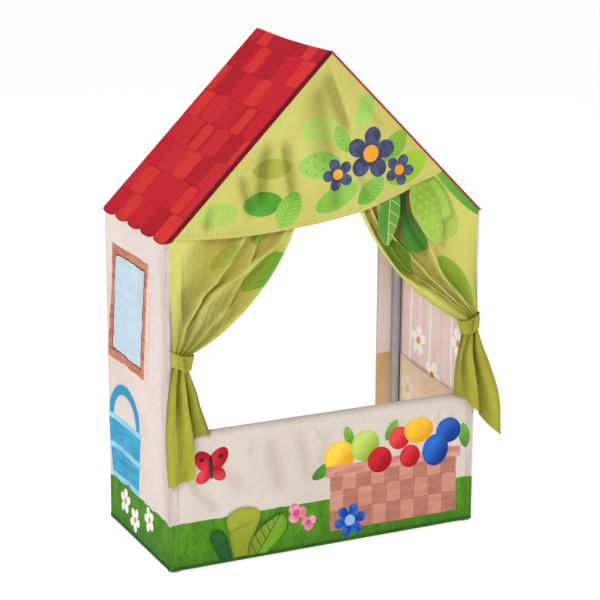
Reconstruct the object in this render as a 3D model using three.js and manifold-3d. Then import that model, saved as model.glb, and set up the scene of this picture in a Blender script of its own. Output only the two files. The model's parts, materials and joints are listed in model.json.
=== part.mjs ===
// Puppet theater stand: a plug-together tube house dressed in a cloth cover, with an open stage
// window, two tied-back curtains, loose cloth leaves and an open back for the players.
// Millimetres, +Z up, the stage faces -Y, and the origin is the bottom centre of the whole object.

import * as THREE from "three";
import { mergeVertices } from "three/addons/utils/BufferGeometryUtils.js";
import Module from "manifold-3d";

const wasm = await Module();
wasm.setup();

// House
const houseWidth = 610;
const houseDepth = 302;
const eaveHeight = 600;
const apexHeight = 908;
const sillHeight = 254;
const cornerRadius = 4;

// Cloth
const clothThickness = 1.2;
const seatGap = 0.3;
const hemLift = 3;
const bindingHeight = 6;
const bindingThickness = 0.8;

// Tubes and moulded connectors
const tubeDiameter = 15;
const tubeWall = 1.1;
const fitClearance = 0.25;
const socketWall = 1.8;
const hubSwell = 0.6;
const socketStop = 10;
const socketGrip = 20;
const footDiameter = 24;
const footThickness = 2.6;
const teeSleeveLength = 34;

// Half the number of flats on every round tube and socket
const roundSegments = 8;

// Pediment: shallow pleats that open towards the hem and die out before the crossed leaves
const pleatCount = 7;
const pleatDepth = 4;
const pleatClearance = 12;
const pleatFade = 90;
const pleatEndShare = 0.5;
const pedimentCornerShare = 0.972;

// Roof cloth
const scallopCount = 5;
const scallopDepth = 10;
const eaveOverhang = 8;
const gableBindingWidth = 5;

// Back flaps, inner pocket and the turned sill hem
const backFlapWidth = 50;
const pocketHeightBack = 250;
const pocketHeightFront = 230;
const pocketMarginBack = 4.5;
const pocketMarginFront = 14;
const sillTurnDown = 26;

// Curtains, each one sheet: a drape that hangs from the rafter, a gathered waist and a tail
const railEndShare = 0.85;
const foldCount = 5;
const foldDepth = 12;
const railClearance = 30;
const railFade = 70;
const forwardRise = 118;
const waistHeight = 392;
const waistWidth = 35;
const waistDepth = 17;
const waistInset = 2;
const tailLength = 229;
const tailFoldCount = 2.5;
const tailFoldDepth = 11;
const tailStandoff = 5;

// Tie-backs
const tieHeight = 26;
const tieThickness = 1.2;
const tieClearance = 0.6;
const tieCornerRadius = 8;
const tabLength = 24;
const tabPoint = 8;
const tabMargin = 2;

// Loose leaves under the pediment and sewn leaves on the stage front
const leafThickness = 2;
const leafRootGap = 0.6;
const leafClearance = 8;
const veinedLeafLength = 82;
const veinedLeafWidth = 46;
const strapLeafLength = 116;
const strapLeafWidth = 40;
const bluntLeafLength = 84;
const bluntLeafWidth = 40;
const quiltedLeafLength = 118;
const quiltedLeafWidth = 54;
const quiltedLeafLift = 3;
const sewnLeafThickness = 1.6;
const sewnDarkLeafLength = 60;
const sewnDarkLeafWidth = 32;
const sewnPocketLeafLength = 92;
const sewnPocketLeafWidth = 66;
const sewnVeinedLeafLength = 82;
const sewnVeinedLeafWidth = 52;

const tubeRadius = tubeDiameter / 2;
const boreRadius = tubeRadius + fitClearance;
const socketRadius = boreRadius + socketWall;
const hubRadius = socketRadius + hubSwell;
const socketReach = socketStop + socketGrip;
const axisInset = clothThickness + seatGap + hubRadius;
const halfWidth = houseWidth / 2;
const gableRise = apexHeight - eaveHeight;
const slopeAngle = Math.atan2(gableRise, halfWidth);
const slopeLength = Math.hypot(gableRise, halfWidth);

const uprightX = halfWidth - axisInset;
const frontY = axisInset;
const backY = houseDepth - axisInset;
const bottomZ = footThickness + hubRadius;
const apexZ = apexHeight - axisInset / Math.cos(slopeAngle);
const eaveZ = apexZ - uprightX * Math.tan(slopeAngle);
const sillZ = sillHeight - clothThickness - seatGap - hubRadius;
const seamX = halfWidth - cornerRadius - seatGap;
const clothTop = eaveHeight - (clothThickness + seatGap) / Math.cos(slopeAngle);

const group = new THREE.Group();

const tubeGrey = { color: 0x919b9b, roughness: 0.45, metalness: 0.25 };
const mouldedGrey = { color: 0xc9cbc8, roughness: 0.55, metalness: 0 };
const roofRed = { color: 0xb51d2f, roughness: 0.85, metalness: 0 };
const bindingRed = { color: 0x7a0a18, roughness: 0.8, metalness: 0 };
const wallCream = { color: 0xe6dad2, roughness: 0.9, metalness: 0 };
const hemGreen = { color: 0x2c5a1c, roughness: 0.85, metalness: 0 };
const curtainGreen = { color: 0xc4c864, roughness: 0.9, metalness: 0 };
const pedimentGreen = { color: 0xc8cd69, roughness: 0.9, metalness: 0 };
const pocketTan = { color: 0xc8aa82, roughness: 0.9, metalness: 0 };
const leafBright = { color: 0x5fa832, roughness: 0.85, metalness: 0 };
const leafDark = { color: 0x2c6b22, roughness: 0.85, metalness: 0 };
const leafLight = { color: 0x8fbf46, roughness: 0.85, metalness: 0 };
const leafOlive = { color: 0x9aa22c, roughness: 0.85, metalness: 0 };

function addPart(name, geometry, finish) {
  const mesh = new THREE.Mesh(geometry, new THREE.MeshStandardMaterial(finish));
  mesh.name = name;
  group.add(mesh);
  return mesh;
}

function solidOf(geometry) {
  const bare = geometry.clone();
  bare.deleteAttribute("normal");
  bare.deleteAttribute("uv");
  const merged = mergeVertices(bare);
  return new wasm.Manifold(
    new wasm.Mesh({
      numProp: 3,
      vertProperties: merged.attributes.position.array,
      triVerts: new Uint32Array(merged.index.array),
    }),
  );
}

function geometryOf(solid) {
  const mesh = solid.getMesh();
  const geometry = new THREE.BufferGeometry();
  geometry.setAttribute("position", new THREE.BufferAttribute(mesh.vertProperties, mesh.numProp));
  geometry.setIndex(new THREE.BufferAttribute(mesh.triVerts, 1));
  geometry.computeVertexNormals();
  return geometry;
}

function joined(geometries) {
  return geometries.map(solidOf).reduce((whole, next) => whole.add(next));
}

// Turns a shape that was extruded along +Z so that it runs from start towards end.
function alongLine(geometry, start, end) {
  const direction = new THREE.Vector3().subVectors(end, start).normalize();
  const turn = new THREE.Quaternion().setFromUnitVectors(new THREE.Vector3(0, 0, 1), direction);
  geometry.applyQuaternion(turn);
  geometry.translate(start.x, start.y, start.z);
  return geometry;
}

function rod(start, end, radius) {
  const length = start.distanceTo(end);
  const shape = new THREE.Shape().absarc(0, 0, radius, 0, 2 * Math.PI);
  const options = { depth: length, bevelEnabled: false, curveSegments: roundSegments };
  return alongLine(new THREE.ExtrudeGeometry(shape, options), start, end);
}

// An open-ended tube between two connector centres, stopped short of each socket's end wall.
function frameTube(name, from, to) {
  const direction = new THREE.Vector3().subVectors(to, from).normalize();
  const pullBack = socketStop + seatGap;
  const start = from.clone().addScaledVector(direction, pullBack);
  const end = to.clone().addScaledVector(direction, -pullBack);
  const shape = new THREE.Shape().absarc(0, 0, tubeRadius, 0, 2 * Math.PI);
  shape.holes.push(new THREE.Path().absarc(0, 0, tubeRadius - tubeWall, 0, 2 * Math.PI, true));
  const options = { depth: start.distanceTo(end), bevelEnabled: false, curveSegments: roundSegments };
  addPart(name, alongLine(new THREE.ExtrudeGeometry(shape, options), start, end), tubeGrey);
}

// A moulded connector: a round hub with one blind socket for each tube that plugs into it.
function connectorSolid(centre, directions) {
  const hub = new THREE.IcosahedronGeometry(hubRadius, 2);
  hub.translate(centre.x, centre.y, centre.z);
  const sleeves = directions.map((direction) =>
    rod(centre, centre.clone().addScaledVector(direction, socketReach), socketRadius),
  );
  let solid = joined([hub, ...sleeves]);
  for (const direction of directions) {
    const floor = centre.clone().addScaledVector(direction, socketStop);
    const mouth = centre.clone().addScaledVector(direction, socketReach + socketGrip);
    solid = solid.subtract(solidOf(rod(floor, mouth, boreRadius)));
  }
  return solid;
}

function vector(x, y, z) {
  return new THREE.Vector3(x, y, z);
}

const up = vector(0, 0, 1);
const down = vector(0, 0, -1);
const toBack = vector(0, 1, 0);
const toFront = vector(0, -1, 0);

const sides = [
  { name: "left", sign: -1, inwards: vector(1, 0, 0) },
  { name: "right", sign: 1, inwards: vector(-1, 0, 0) },
];
const ends = [
  { name: "front", y: frontY, inwards: toBack },
  { name: "back", y: backY, inwards: toFront },
];

function rafterDirection(sign) {
  return vector(-sign * Math.cos(slopeAngle), 0, Math.sin(slopeAngle));
}

function buildFrame() {
  for (const end of ends) {
    const apex = vector(0, end.y, apexZ);
    for (const side of sides) {
      const x = side.sign * uprightX;
      const bottom = vector(x, end.y, bottomZ);
      const eave = vector(x, end.y, eaveZ);
      const place = `${end.name}_${side.name}`;
      frameTube(`${place}_upright`, bottom, eave);
      frameTube(`${place}_rafter`, eave, apex);

      const foot = rod(vector(x, end.y, 0), vector(x, end.y, footThickness), footDiameter / 2);
      const stem = rod(vector(x, end.y, 0), bottom, tubeRadius);
      const corner = joined([foot, stem]).add(connectorSolid(bottom, [up, side.inwards, end.inwards]));
      addPart(`${place}_bottom_connector`, geometryOf(corner), mouldedGrey);

      const joint = connectorSolid(eave, [down, rafterDirection(side.sign), end.inwards]);
      addPart(`${place}_eave_connector`, geometryOf(joint), mouldedGrey);
    }
    const rafters = sides.map((side) => rafterDirection(side.sign).negate());
    const peak = connectorSolid(apex, [...rafters, end.inwards]);
    addPart(`${end.name}_apex_connector`, geometryOf(peak), mouldedGrey);
    const left = vector(-uprightX, end.y, bottomZ);
    const right = vector(uprightX, end.y, bottomZ);
    frameTube(`${end.name}_bottom_tube`, left, right);
  }
  for (const side of sides) {
    const x = side.sign * uprightX;
    frameTube(`${side.name}_bottom_tube`, vector(x, frontY, bottomZ), vector(x, backY, bottomZ));
    frameTube(`${side.name}_eave_tube`, vector(x, frontY, eaveZ), vector(x, backY, eaveZ));
  }
  frameTube("ridge_tube", vector(0, frontY, apexZ), vector(0, backY, apexZ));
}

// The sill tube plugs into two tees, each a sleeve that grips a front upright with a side socket.
function buildSill() {
  for (const side of sides) {
    const centre = vector(side.sign * uprightX, frontY, sillZ);
    const top = centre.clone().addScaledVector(up, teeSleeveLength / 2);
    const base = centre.clone().addScaledVector(up, -teeSleeveLength / 2);
    const branch = rod(centre, centre.clone().addScaledVector(side.inwards, socketReach), socketRadius);
    const floor = centre.clone().addScaledVector(side.inwards, socketStop);
    const mouth = centre.clone().addScaledVector(side.inwards, socketReach + socketGrip);
    const through = rod(
      base.clone().addScaledVector(up, -teeSleeveLength),
      top.clone().addScaledVector(up, teeSleeveLength),
      boreRadius,
    );
    const solid = joined([rod(base, top, socketRadius), branch])
      .subtract(solidOf(through))
      .subtract(solidOf(rod(floor, mouth, boreRadius)));
    addPart(`${side.name}_sill_tee`, geometryOf(solid), mouldedGrey);
  }
  frameTube("sill_tube", vector(-uprightX, frontY, sillZ), vector(uprightX, frontY, sillZ));
}

// One roof slope, cut with a row of rounded tile ends along the eave, laid on the rafters.
function buildRoof() {
  const front = -clothThickness - 2 * seatGap;
  const length = houseDepth - front;
  const scallopWidth = length / scallopCount;
  const eaveEdge = slopeLength + eaveOverhang;
  const notch = eaveEdge - scallopDepth;
  for (const side of sides) {
    const shape = new THREE.Shape();
    shape.moveTo(front, clothThickness + seatGap);
    shape.lineTo(front, notch);
    for (let i = 0; i < scallopCount; i += 1) {
      const start = front + i * scallopWidth;
      const middle = start + scallopWidth / 2;
      shape.quadraticCurveTo(start, eaveEdge, middle, eaveEdge);
      shape.quadraticCurveTo(start + scallopWidth, eaveEdge, start + scallopWidth, notch);
    }
    shape.lineTo(front + length, clothThickness + seatGap);
    const options = { depth: clothThickness, bevelEnabled: false, curveSegments: 6 };
    const geometry = new THREE.ExtrudeGeometry(shape, options);
    geometry.translate(0, 0, -clothThickness);
    const downSlope = vector(-Math.cos(slopeAngle), 0, -Math.sin(slopeAngle));
    const outwards = vector(-Math.sin(slopeAngle), 0, Math.cos(slopeAngle));
    geometry.applyMatrix4(new THREE.Matrix4().makeBasis(toBack, downSlope, outwards));
    if (side.sign > 0) {
      geometry.rotateZ(Math.PI);
      geometry.translate(0, houseDepth + front, 0);
    }
    geometry.translate(0, 0, apexHeight);
    addPart(`${side.name}_roof_slope`, geometry, roofRed);
  }
}

// The red binding that closes the front edge of each slope over the top of the pediment.
function buildGableBindings() {
  const back = -clothThickness - 3 * seatGap;
  for (const side of sides) {
    const shape = new THREE.Shape();
    shape.moveTo(clothThickness + seatGap + gableBindingWidth, 0);
    shape.lineTo(slopeLength, 0);
    shape.lineTo(slopeLength - gableBindingWidth, -gableBindingWidth);
    shape.lineTo(clothThickness + seatGap + gableBindingWidth, -gableBindingWidth);
    const options = { depth: bindingThickness, bevelEnabled: false };
    const geometry = new THREE.ExtrudeGeometry(shape, options);
    geometry.rotateX(Math.PI / 2);
    geometry.rotateY(slopeAngle);
    if (side.sign < 0) {
      geometry.rotateZ(Math.PI);
      geometry.translate(0, -bindingThickness, 0);
    }
    geometry.translate(0, back, apexHeight);
    addPart(`${side.name}_gable_binding`, geometry, bindingRed);
  }
}

// A side wall in plan: round front corner, flat side and round back corner.
function wallProfile() {
  const inner = cornerRadius - clothThickness;
  const shape = new THREE.Shape();
  shape.moveTo(cornerRadius, 0);
  shape.lineTo(cornerRadius, clothThickness);
  shape.absarc(cornerRadius, cornerRadius, inner, -Math.PI / 2, -Math.PI, true);
  shape.absarc(cornerRadius, houseDepth - cornerRadius, inner, Math.PI, Math.PI / 2, true);
  shape.lineTo(cornerRadius, houseDepth);
  shape.absarc(cornerRadius, houseDepth - cornerRadius, cornerRadius, Math.PI / 2, Math.PI, false);
  shape.absarc(cornerRadius, cornerRadius, cornerRadius, Math.PI, 1.5 * Math.PI, false);
  return shape;
}

function mirrored(geometry) {
  const copy = geometry.clone().applyMatrix4(new THREE.Matrix4().makeScale(-1, 1, 1));
  const flat = copy.index ? copy.toNonIndexed() : copy;
  const position = flat.attributes.position;
  for (let i = 0; i < position.count; i += 3) {
    const second = new THREE.Vector3().fromBufferAttribute(position, i + 1);
    const third = new THREE.Vector3().fromBufferAttribute(position, i + 2);
    position.setXYZ(i + 1, third.x, third.y, third.z);
    position.setXYZ(i + 2, second.x, second.y, second.z);
  }
  flat.computeVertexNormals();
  return flat;
}

function addSide(side, suffix, leftGeometry, finish) {
  const geometry = side.sign < 0 ? leftGeometry : mirrored(leftGeometry);
  addPart(`${side.name}_${suffix}`, geometry, finish);
}

function buildWalls() {
  const wallHeight = clothTop - hemLift;
  const options = { depth: wallHeight, bevelEnabled: false, curveSegments: 4 };
  const wall = new THREE.ExtrudeGeometry(wallProfile(), options);
  wall.translate(-halfWidth, 0, hemLift);

  const flap = new THREE.BoxGeometry(backFlapWidth - cornerRadius, clothThickness, wallHeight);
  const flapX = -halfWidth + (cornerRadius + backFlapWidth) / 2 + seatGap;
  flap.translate(flapX, houseDepth - clothThickness / 2, hemLift + wallHeight / 2);

  const hem = new THREE.BoxGeometry(bindingThickness, houseDepth - 2 * cornerRadius, bindingHeight);
  const hemX = -halfWidth - seatGap - bindingThickness / 2;
  hem.translate(hemX, houseDepth / 2, hemLift + bindingHeight / 2);

  for (const side of sides) {
    addSide(side, "wall", wall, wallCream);
    addSide(side, "back_flap", flap, wallCream);
    addSide(side, "hem_binding", hem, hemGreen);
  }
}

// The storage pocket sewn flat to the inner face of the right wall, higher at the back.
function buildInnerPocket() {
  const shape = new THREE.Shape();
  const base = bottomZ + hubRadius + seatGap;
  const y0 = frontY + pocketMarginFront;
  const y1 = backY - pocketMarginBack;
  shape.moveTo(y0, base);
  shape.lineTo(y1, base);
  shape.lineTo(y1, pocketHeightBack);
  shape.lineTo(y0, pocketHeightFront);
  const geometry = new THREE.ExtrudeGeometry(shape, { depth: clothThickness, bevelEnabled: false });
  geometry.applyMatrix4(new THREE.Matrix4().makeBasis(toBack, up, vector(1, 0, 0)));
  geometry.translate(halfWidth - 2 * clothThickness - seatGap, 0, 0);
  addPart("right_inner_pocket", geometry, pocketTan);
}

// The stage front: a flat panel whose top turns over the sill tube and hangs down inside.
function buildFrontPanel() {
  const turnRadius = axisInset;
  const section = new THREE.Shape();
  section.moveTo(0, hemLift);
  section.lineTo(clothThickness, hemLift);
  section.lineTo(clothThickness, sillZ);
  section.absarc(frontY, sillZ, turnRadius - clothThickness, Math.PI, 0, true);
  section.lineTo(frontY + turnRadius - clothThickness, sillZ - sillTurnDown);
  section.lineTo(frontY + turnRadius, sillZ - sillTurnDown);
  section.absarc(frontY, sillZ, turnRadius, 0, Math.PI, false);
  const turnHalf = uprightX - socketRadius - seatGap;
  const options = { depth: 2 * turnHalf, bevelEnabled: false, curveSegments: 12 };
  const turned = new THREE.ExtrudeGeometry(section, options);
  turned.applyMatrix4(new THREE.Matrix4().makeBasis(toBack, up, vector(1, 0, 0)));
  turned.translate(-turnHalf, 0, 0);
  const flatTop = sillZ + turnRadius / 2;
  const flat = new THREE.BoxGeometry(2 * seamX, clothThickness, flatTop - hemLift);
  flat.translate(0, clothThickness / 2, (flatTop + hemLift) / 2);
  addPart("front_panel", geometryOf(joined([turned, flat])), wallCream);

  const hem = new THREE.BoxGeometry(2 * seamX, bindingThickness, bindingHeight);
  hem.translate(0, -seatGap - bindingThickness / 2, hemLift + bindingHeight / 2);
  addPart("front_hem_binding", hem, hemGreen);
}

function smooth(value) {
  const t = Math.min(Math.max(value, 0), 1);
  return t * t * (3 - 2 * t);
}

function mix(from, to, share) {
  return from + (to - from) * share;
}

// A ripple between 0 and 1 that repeats count times over the whole share.
function waves(share, count) {
  return (1 - Math.cos(2 * Math.PI * count * share)) / 2;
}

// A smooth curve y(x) through rows of [x, y], with the ends held straight.
function curveThrough(rows) {
  return (x) => {
    let i = 0;
    while (i < rows.length - 2 && x > rows[i + 1][0]) i += 1;
    const [x1, y1] = rows[i];
    const [x2, y2] = rows[i + 1];
    const [x0, y0] = rows[Math.max(i - 1, 0)];
    const [x3, y3] = rows[Math.min(i + 2, rows.length - 1)];
    const t = Math.min(Math.max((x - x1) / (x2 - x1), 0), 1);
    const slopeIn = ((y2 - y0) / (x2 - x0)) * (x2 - x1);
    const slopeOut = ((y3 - y1) / (x3 - x1)) * (x2 - x1);
    const t2 = t * t;
    const t3 = t2 * t;
    const between = (2 * t3 - 3 * t2 + 1) * y1 + (3 * t2 - 2 * t3) * y2;
    return between + (t3 - 2 * t2 + t) * slopeIn + (t3 - t2) * slopeOut;
  };
}

// A closed cloth solid from a grid of columns and rows: place(u, v) gives x, z and the front and
// back y of the cloth at that point.
function sheetGeometry(columns, rows, place) {
  const position = [];
  const index = [];
  const stride = columns + 1;
  const layer = stride * (rows + 1);
  for (const face of ["front", "back"]) {
    for (let j = 0; j <= rows; j += 1) {
      for (let i = 0; i <= columns; i += 1) {
        const spot = place(i / columns, j / rows);
        position.push(spot.x, spot[face], spot.z);
      }
    }
  }
  const quad = (a, b, c, d) => index.push(a, b, c, a, c, d);
  for (let j = 0; j < rows; j += 1) {
    for (let i = 0; i < columns; i += 1) {
      const a = j * stride + i;
      quad(a, a + stride, a + stride + 1, a + 1);
      quad(layer + a, layer + a + 1, layer + a + stride + 1, layer + a + stride);
    }
  }
  for (let i = 0; i < columns; i += 1) {
    const low = rows * stride + i;
    quad(i, i + 1, layer + i + 1, layer + i);
    quad(low, layer + low, layer + low + 1, low + 1);
  }
  for (let j = 0; j < rows; j += 1) {
    const a = j * stride;
    const b = a + columns;
    quad(a, layer + a, layer + a + stride, a + stride);
    quad(b, b + stride, layer + b + stride, layer + b);
  }
  const geometry = new THREE.BufferGeometry();
  geometry.setAttribute("position", new THREE.Float32BufferAttribute(position, 3));
  geometry.setIndex(index);
  const solid = solidOf(geometry);
  if (solid.volume() > 0) return geometry;
  for (let i = 0; i < index.length; i += 3) [index[i + 1], index[i + 2]] = [index[i + 2], index[i + 1]];
  geometry.setIndex(index);
  return geometry;
}

function roofUnderside(x) {
  const inset = (clothThickness + seatGap) / Math.cos(slopeAngle);
  return apexHeight - Math.abs(x) * Math.tan(slopeAngle) - inset;
}

// The pediment's lower hem, as shares of the half width and of the gable's rise above the eave.
const hemShares = [
  [-0.984, 0.004],
  [-0.86, 0.004],
  [-0.59, -0.006],
  [-0.21, 0.01],
  [0.125, 0.052],
  [0.31, 0.094],
  [0.55, 0.179],
  [0.725, 0.25],
];
const hemCurve = curveThrough(hemShares);

function hemHeight(x) {
  return eaveHeight + gableRise * hemCurve(x / halfWidth);
}

function buildPediment() {
  const leftEnd = -pedimentCornerShare * halfWidth;
  const rightEnd = hemShares[hemShares.length - 1][0] * halfWidth;
  const columns = 56;
  const rows = 6;
  const geometry = sheetGeometry(columns, rows, (u, v) => {
    const x = mix(leftEnd, rightEnd, u);
    const top = Math.max(roofUnderside(x), hemHeight(x) + clothThickness);
    const z = mix(top, hemHeight(x), v);
    const freeOfRoof = smooth((top - z - pleatClearance) / pleatFade);
    const freeOfLeaves = smooth((pleatEndShare * halfWidth - x) / pleatFade);
    const back = -seatGap - pleatDepth * waves(u, pleatCount) * freeOfRoof * freeOfLeaves;
    return { x, z, back, front: back - clothThickness };
  });
  addPart("pediment", geometry, pedimentGreen);
}

// How each side's curtain hangs. The drape's inner edge is a curve with two handles, given as
// shares of the half width and of the height from waist to apex. The tail's outer and inner edges
// and its hem are shares of the tail's length, against the share of the way down or across.
const curtainForms = {
  left: {
    handleShares: [
      [0.009, 0.489],
      [0.332, 0.142],
    ],
    tieTiltShare: 0.2,
    outerShares: [
      [0, 0],
      [0.2, 0.045],
      [0.55, 0.075],
      [1, 0.055],
    ],
    innerShares: [
      [0, 0],
      [0.3, 0.065],
      [0.58, 0.145],
      [1, 0.145],
    ],
    hemDropShares: [
      [0, 0.93],
      [0.5, 0.88],
      [0.58, 0.85],
      [0.66, 0.58],
      [1, 0.55],
    ],
  },
  right: {
    handleShares: [
      [-0.094, 0.527],
      [0.497, 0.109],
    ],
    tieTiltShare: 0.35,
    outerShares: [
      [0, 0],
      [0.15, 0.05],
      [0.33, 0.125],
      [0.6, 0.215],
      [1, 0.245],
    ],
    innerShares: [
      [0, 0],
      [0.18, 0.025],
      [0.4, 0.04],
      [1, 0.035],
    ],
    hemDropShares: [
      [0, 0.93],
      [0.25, 0.83],
      [0.45, 0.72],
      [0.6, 0.65],
      [0.75, 0.57],
      [1, 0.52],
    ],
  },
};

const waistOuter = seamX - waistInset;
const waistInner = waistOuter - waistWidth;
const waistBack = -seatGap - tieThickness - tieClearance;

function bezier(points, t) {
  const s = 1 - t;
  const weights = [s * s * s, 3 * s * s * t, 3 * s * t * t, t * t * t];
  return points.reduce((sum, point, i) => sum + weights[i] * point, 0);
}

// The front of the gathered bundle at the waist, rounded off towards both edges.
function waistFront(u) {
  const edge = Math.abs(2 * u - 1);
  const crown = 1 - edge * edge * edge / 2;
  const groove = waves(u, foldCount) / foldCount;
  return waistBack - waistDepth * crown * (1 - groove);
}

// Height at which the drape starts to come forward: never as high as the lowest leaf tip.
function forwardTop() {
  const tips = looseLeaves.map((leaf) => {
    const form = looseLeafForm(leaf);
    const tipShare = form.widthShares[form.widthShares.length - 1][1];
    return form.tip.y - leaf.width * tipShare;
  });
  return Math.min(waistHeight + forwardRise, Math.min(...tips) - leafClearance);
}

function tieRise(form, u) {
  return form.tieTiltShare * waistWidth * (0.5 - u);
}

// The drape: from the rafter in to the top of the tie-back.
function drapePlace(form, u, t) {
  const railX = mix(seamX, (1 - railEndShare) * halfWidth, u);
  const neckTop = waistHeight + tieHeight / 2 + seatGap + tieRise(form, u);
  const neckX = mix(waistOuter, waistInner, u);
  const spanZ = apexHeight - waistHeight;
  const outerHandles = [mix(seamX, waistOuter, 1 / 3), mix(seamX, waistOuter, 2 / 3)];
  const railZ = roofUnderside(railX) - seatGap;
  const cornerZ = roofUnderside(seamX) - seatGap;
  const handleX = form.handleShares.map(([share], i) => mix(outerHandles[i], share * halfWidth, u));
  const handleZ = form.handleShares.map(([, share], i) =>
    mix(mix(cornerZ, neckTop, (i + 1) / 3), waistHeight + share * spanZ, u),
  );
  const x = bezier([railX, ...handleX, neckX], t);
  const z = bezier([railZ, ...handleZ, neckTop], t);
  const freeOfRail = smooth((roofUnderside(x) - z - railClearance) / railFade);
  const freeOfUpright = smooth((seamX - 2 * socketRadius - x) / socketRadius);
  const reach = forwardTop() - neckTop;
  const forward = smooth((neckTop + reach - z) / reach);
  const sway = foldDepth * waves(u, foldCount) * freeOfRail * freeOfUpright;
  const front = mix(sway, waistFront(u), forward);
  const gathered = smooth((neckTop + reach / 3 - z) / (reach / 3));
  return { x, z, front, back: mix(front + clothThickness, waistBack, gathered) };
}

// The tail: from the underside of the tie-back down to the hem.
function tailPlace(form, u, t) {
  const outerCurve = curveThrough(form.outerShares);
  const innerCurve = curveThrough(form.innerShares);
  const share = t * curveThrough(form.hemDropShares)(u);
  const outer = waistOuter + tailLength * outerCurve(share);
  const inner = waistInner - tailLength * innerCurve(share);
  const z = waistHeight - tieHeight / 2 - seatGap + tieRise(form, u) * (1 - share) - tailLength * share;
  const free = smooth(3 * share);
  const hanging = -tailStandoff - tailFoldDepth * (1 - waves(u, tailFoldCount));
  const front = mix(waistFront(u), hanging, free);
  const back = mix(waistBack, front + clothThickness, smooth(5 * share));
  return { x: mix(outer, inner, u), z, front, back };
}

function buildCurtains() {
  const columns = 24;
  const drapeRows = 12;
  const tailRows = 9;
  const rows = drapeRows + 1 + tailRows;
  for (const side of sides) {
    const form = curtainForms[side.name];
    const geometry = sheetGeometry(columns, rows, (u, v) => {
      const row = Math.round(v * rows);
      const tailRow = row - drapeRows - 1;
      const onTail = tailRow >= 0;
      const place = onTail ? tailPlace(form, u, tailRow / tailRows) : drapePlace(form, u, row / drapeRows);
      return { ...place, x: side.sign * place.x };
    });
    addPart(`${side.name}_curtain`, geometry, curtainGreen);
  }
}

function bandOutline(margin, Outline) {
  const inner = waistInner - margin;
  const outer = waistOuter + margin;
  const back = waistBack + margin;
  const front = waistBack - waistDepth - margin;
  const radius = tieCornerRadius + margin - tieClearance;
  const outline = new Outline();
  outline.moveTo(outer, back);
  outline.lineTo(inner, back);
  outline.absarc(inner + radius, front + radius, radius, Math.PI, 1.5 * Math.PI, false);
  outline.absarc(outer - radius, front + radius, radius, 1.5 * Math.PI, 2 * Math.PI, false);
  return outline;
}

// Slants a piece so that its side nearer the corner post stands higher.
function slanted(geometry, tiltShare) {
  const position = geometry.attributes.position;
  const middle = (waistInner + waistOuter) / 2;
  for (let i = 0; i < position.count; i += 1) {
    const rise = tiltShare * (position.getX(i) - middle);
    position.setZ(i, position.getZ(i) + rise);
  }
  geometry.computeVertexNormals();
  return geometry;
}

// Each tie-back is a closed band round the waist with a pointed closing tab on its front.
function buildTieBacks() {
  for (const side of sides) {
    const tiltShare = curtainForms[side.name].tieTiltShare;
    const shape = bandOutline(tieClearance + tieThickness, THREE.Shape);
    shape.holes.push(bandOutline(tieClearance, THREE.Path));
    const options = { depth: tieHeight, bevelEnabled: false, curveSegments: 5 };
    const band = new THREE.ExtrudeGeometry(shape, options);
    band.translate(0, 0, waistHeight - tieHeight / 2);
    const bandSide = side.sign < 0 ? mirrored(slanted(band, tiltShare)) : slanted(band, tiltShare);
    addPart(`${side.name}_tie_back`, bandSide, curtainGreen);

    const half = tieHeight / 2 - tabMargin;
    const tab = new THREE.Shape();
    tab.moveTo(0, -half);
    tab.lineTo(0, half);
    tab.lineTo(tabLength, half);
    tab.lineTo(tabLength, -half);
    tab.lineTo(tabLength / 2, -half - tabPoint);
    const plate = new THREE.ExtrudeGeometry(tab, { depth: tieThickness, bevelEnabled: false });
    plate.rotateX(Math.PI / 2);
    plate.translate(0, tieThickness / 2, 0);
    const rootX = waistInner - tieClearance + tieCornerRadius;
    const rootY = waistBack - waistDepth - tieClearance - 1.5 * tieThickness - seatGap;
    const roll = rod(vector(0, 0, -half), vector(0, 0, half), tieThickness / 2);
    const solid = geometryOf(joined([plate, roll]));
    solid.translate(rootX, rootY, waistHeight);
    const rightTab = slanted(solid, tiltShare);
    addPart(`${side.name}_tie_tab`, side.sign < 0 ? mirrored(rightTab) : rightTab, curtainGreen);
  }
}

// A flat leaf from its root edge to its tip. The root edge runs from one point to another, and
// widthShares gives half widths, as shares of the leaf's width, along the way to the tip. The bow
// share bends its middle line to one side.
function leafSolid(leaf) {
  const rootVector = new THREE.Vector2().subVectors(leaf.rootTo, leaf.rootFrom);
  const across = rootVector.clone().normalize();
  const upwards = new THREE.Vector2(-across.y, across.x);
  const middle = leaf.rootFrom.clone().addScaledVector(rootVector, 1 / 2);
  const toTip = new THREE.Vector2().subVectors(leaf.tip, middle);
  const tipAcross = toTip.dot(across);
  const tipUp = toTip.dot(upwards);
  const halfAt = curveThrough(leaf.widthShares);
  const stations = 12;
  const near = [];
  const far = [];
  for (let i = 0; i <= stations; i += 1) {
    const s = i / stations;
    const half = leaf.width * halfAt(s);
    const line = tipAcross * s + 4 * leaf.width * leaf.bowShare * s * (1 - s);
    near.push(new THREE.Vector2(line - half, tipUp * s));
    far.push(new THREE.Vector2(line + half, tipUp * s));
  }
  const shape = new THREE.Shape([...near, ...far.reverse()]);
  const plate = new THREE.ExtrudeGeometry(shape, { depth: leaf.thickness, bevelEnabled: false });
  plate.translate(0, 0, -leaf.thickness / 2);
  const rootHalf = leaf.width * halfAt(0);
  const roll = rod(vector(-rootHalf, 0, 0), vector(rootHalf, 0, 0), leaf.thickness / 2);
  const solid = geometryOf(joined([plate, roll]));
  const basis = new THREE.Matrix4().makeBasis(
    vector(across.x, 0, across.y),
    vector(upwards.x, 0, upwards.y),
    toFront,
  );
  solid.applyMatrix4(basis);
  solid.translate(middle.x, leaf.y, middle.y);
  return solid;
}

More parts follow.
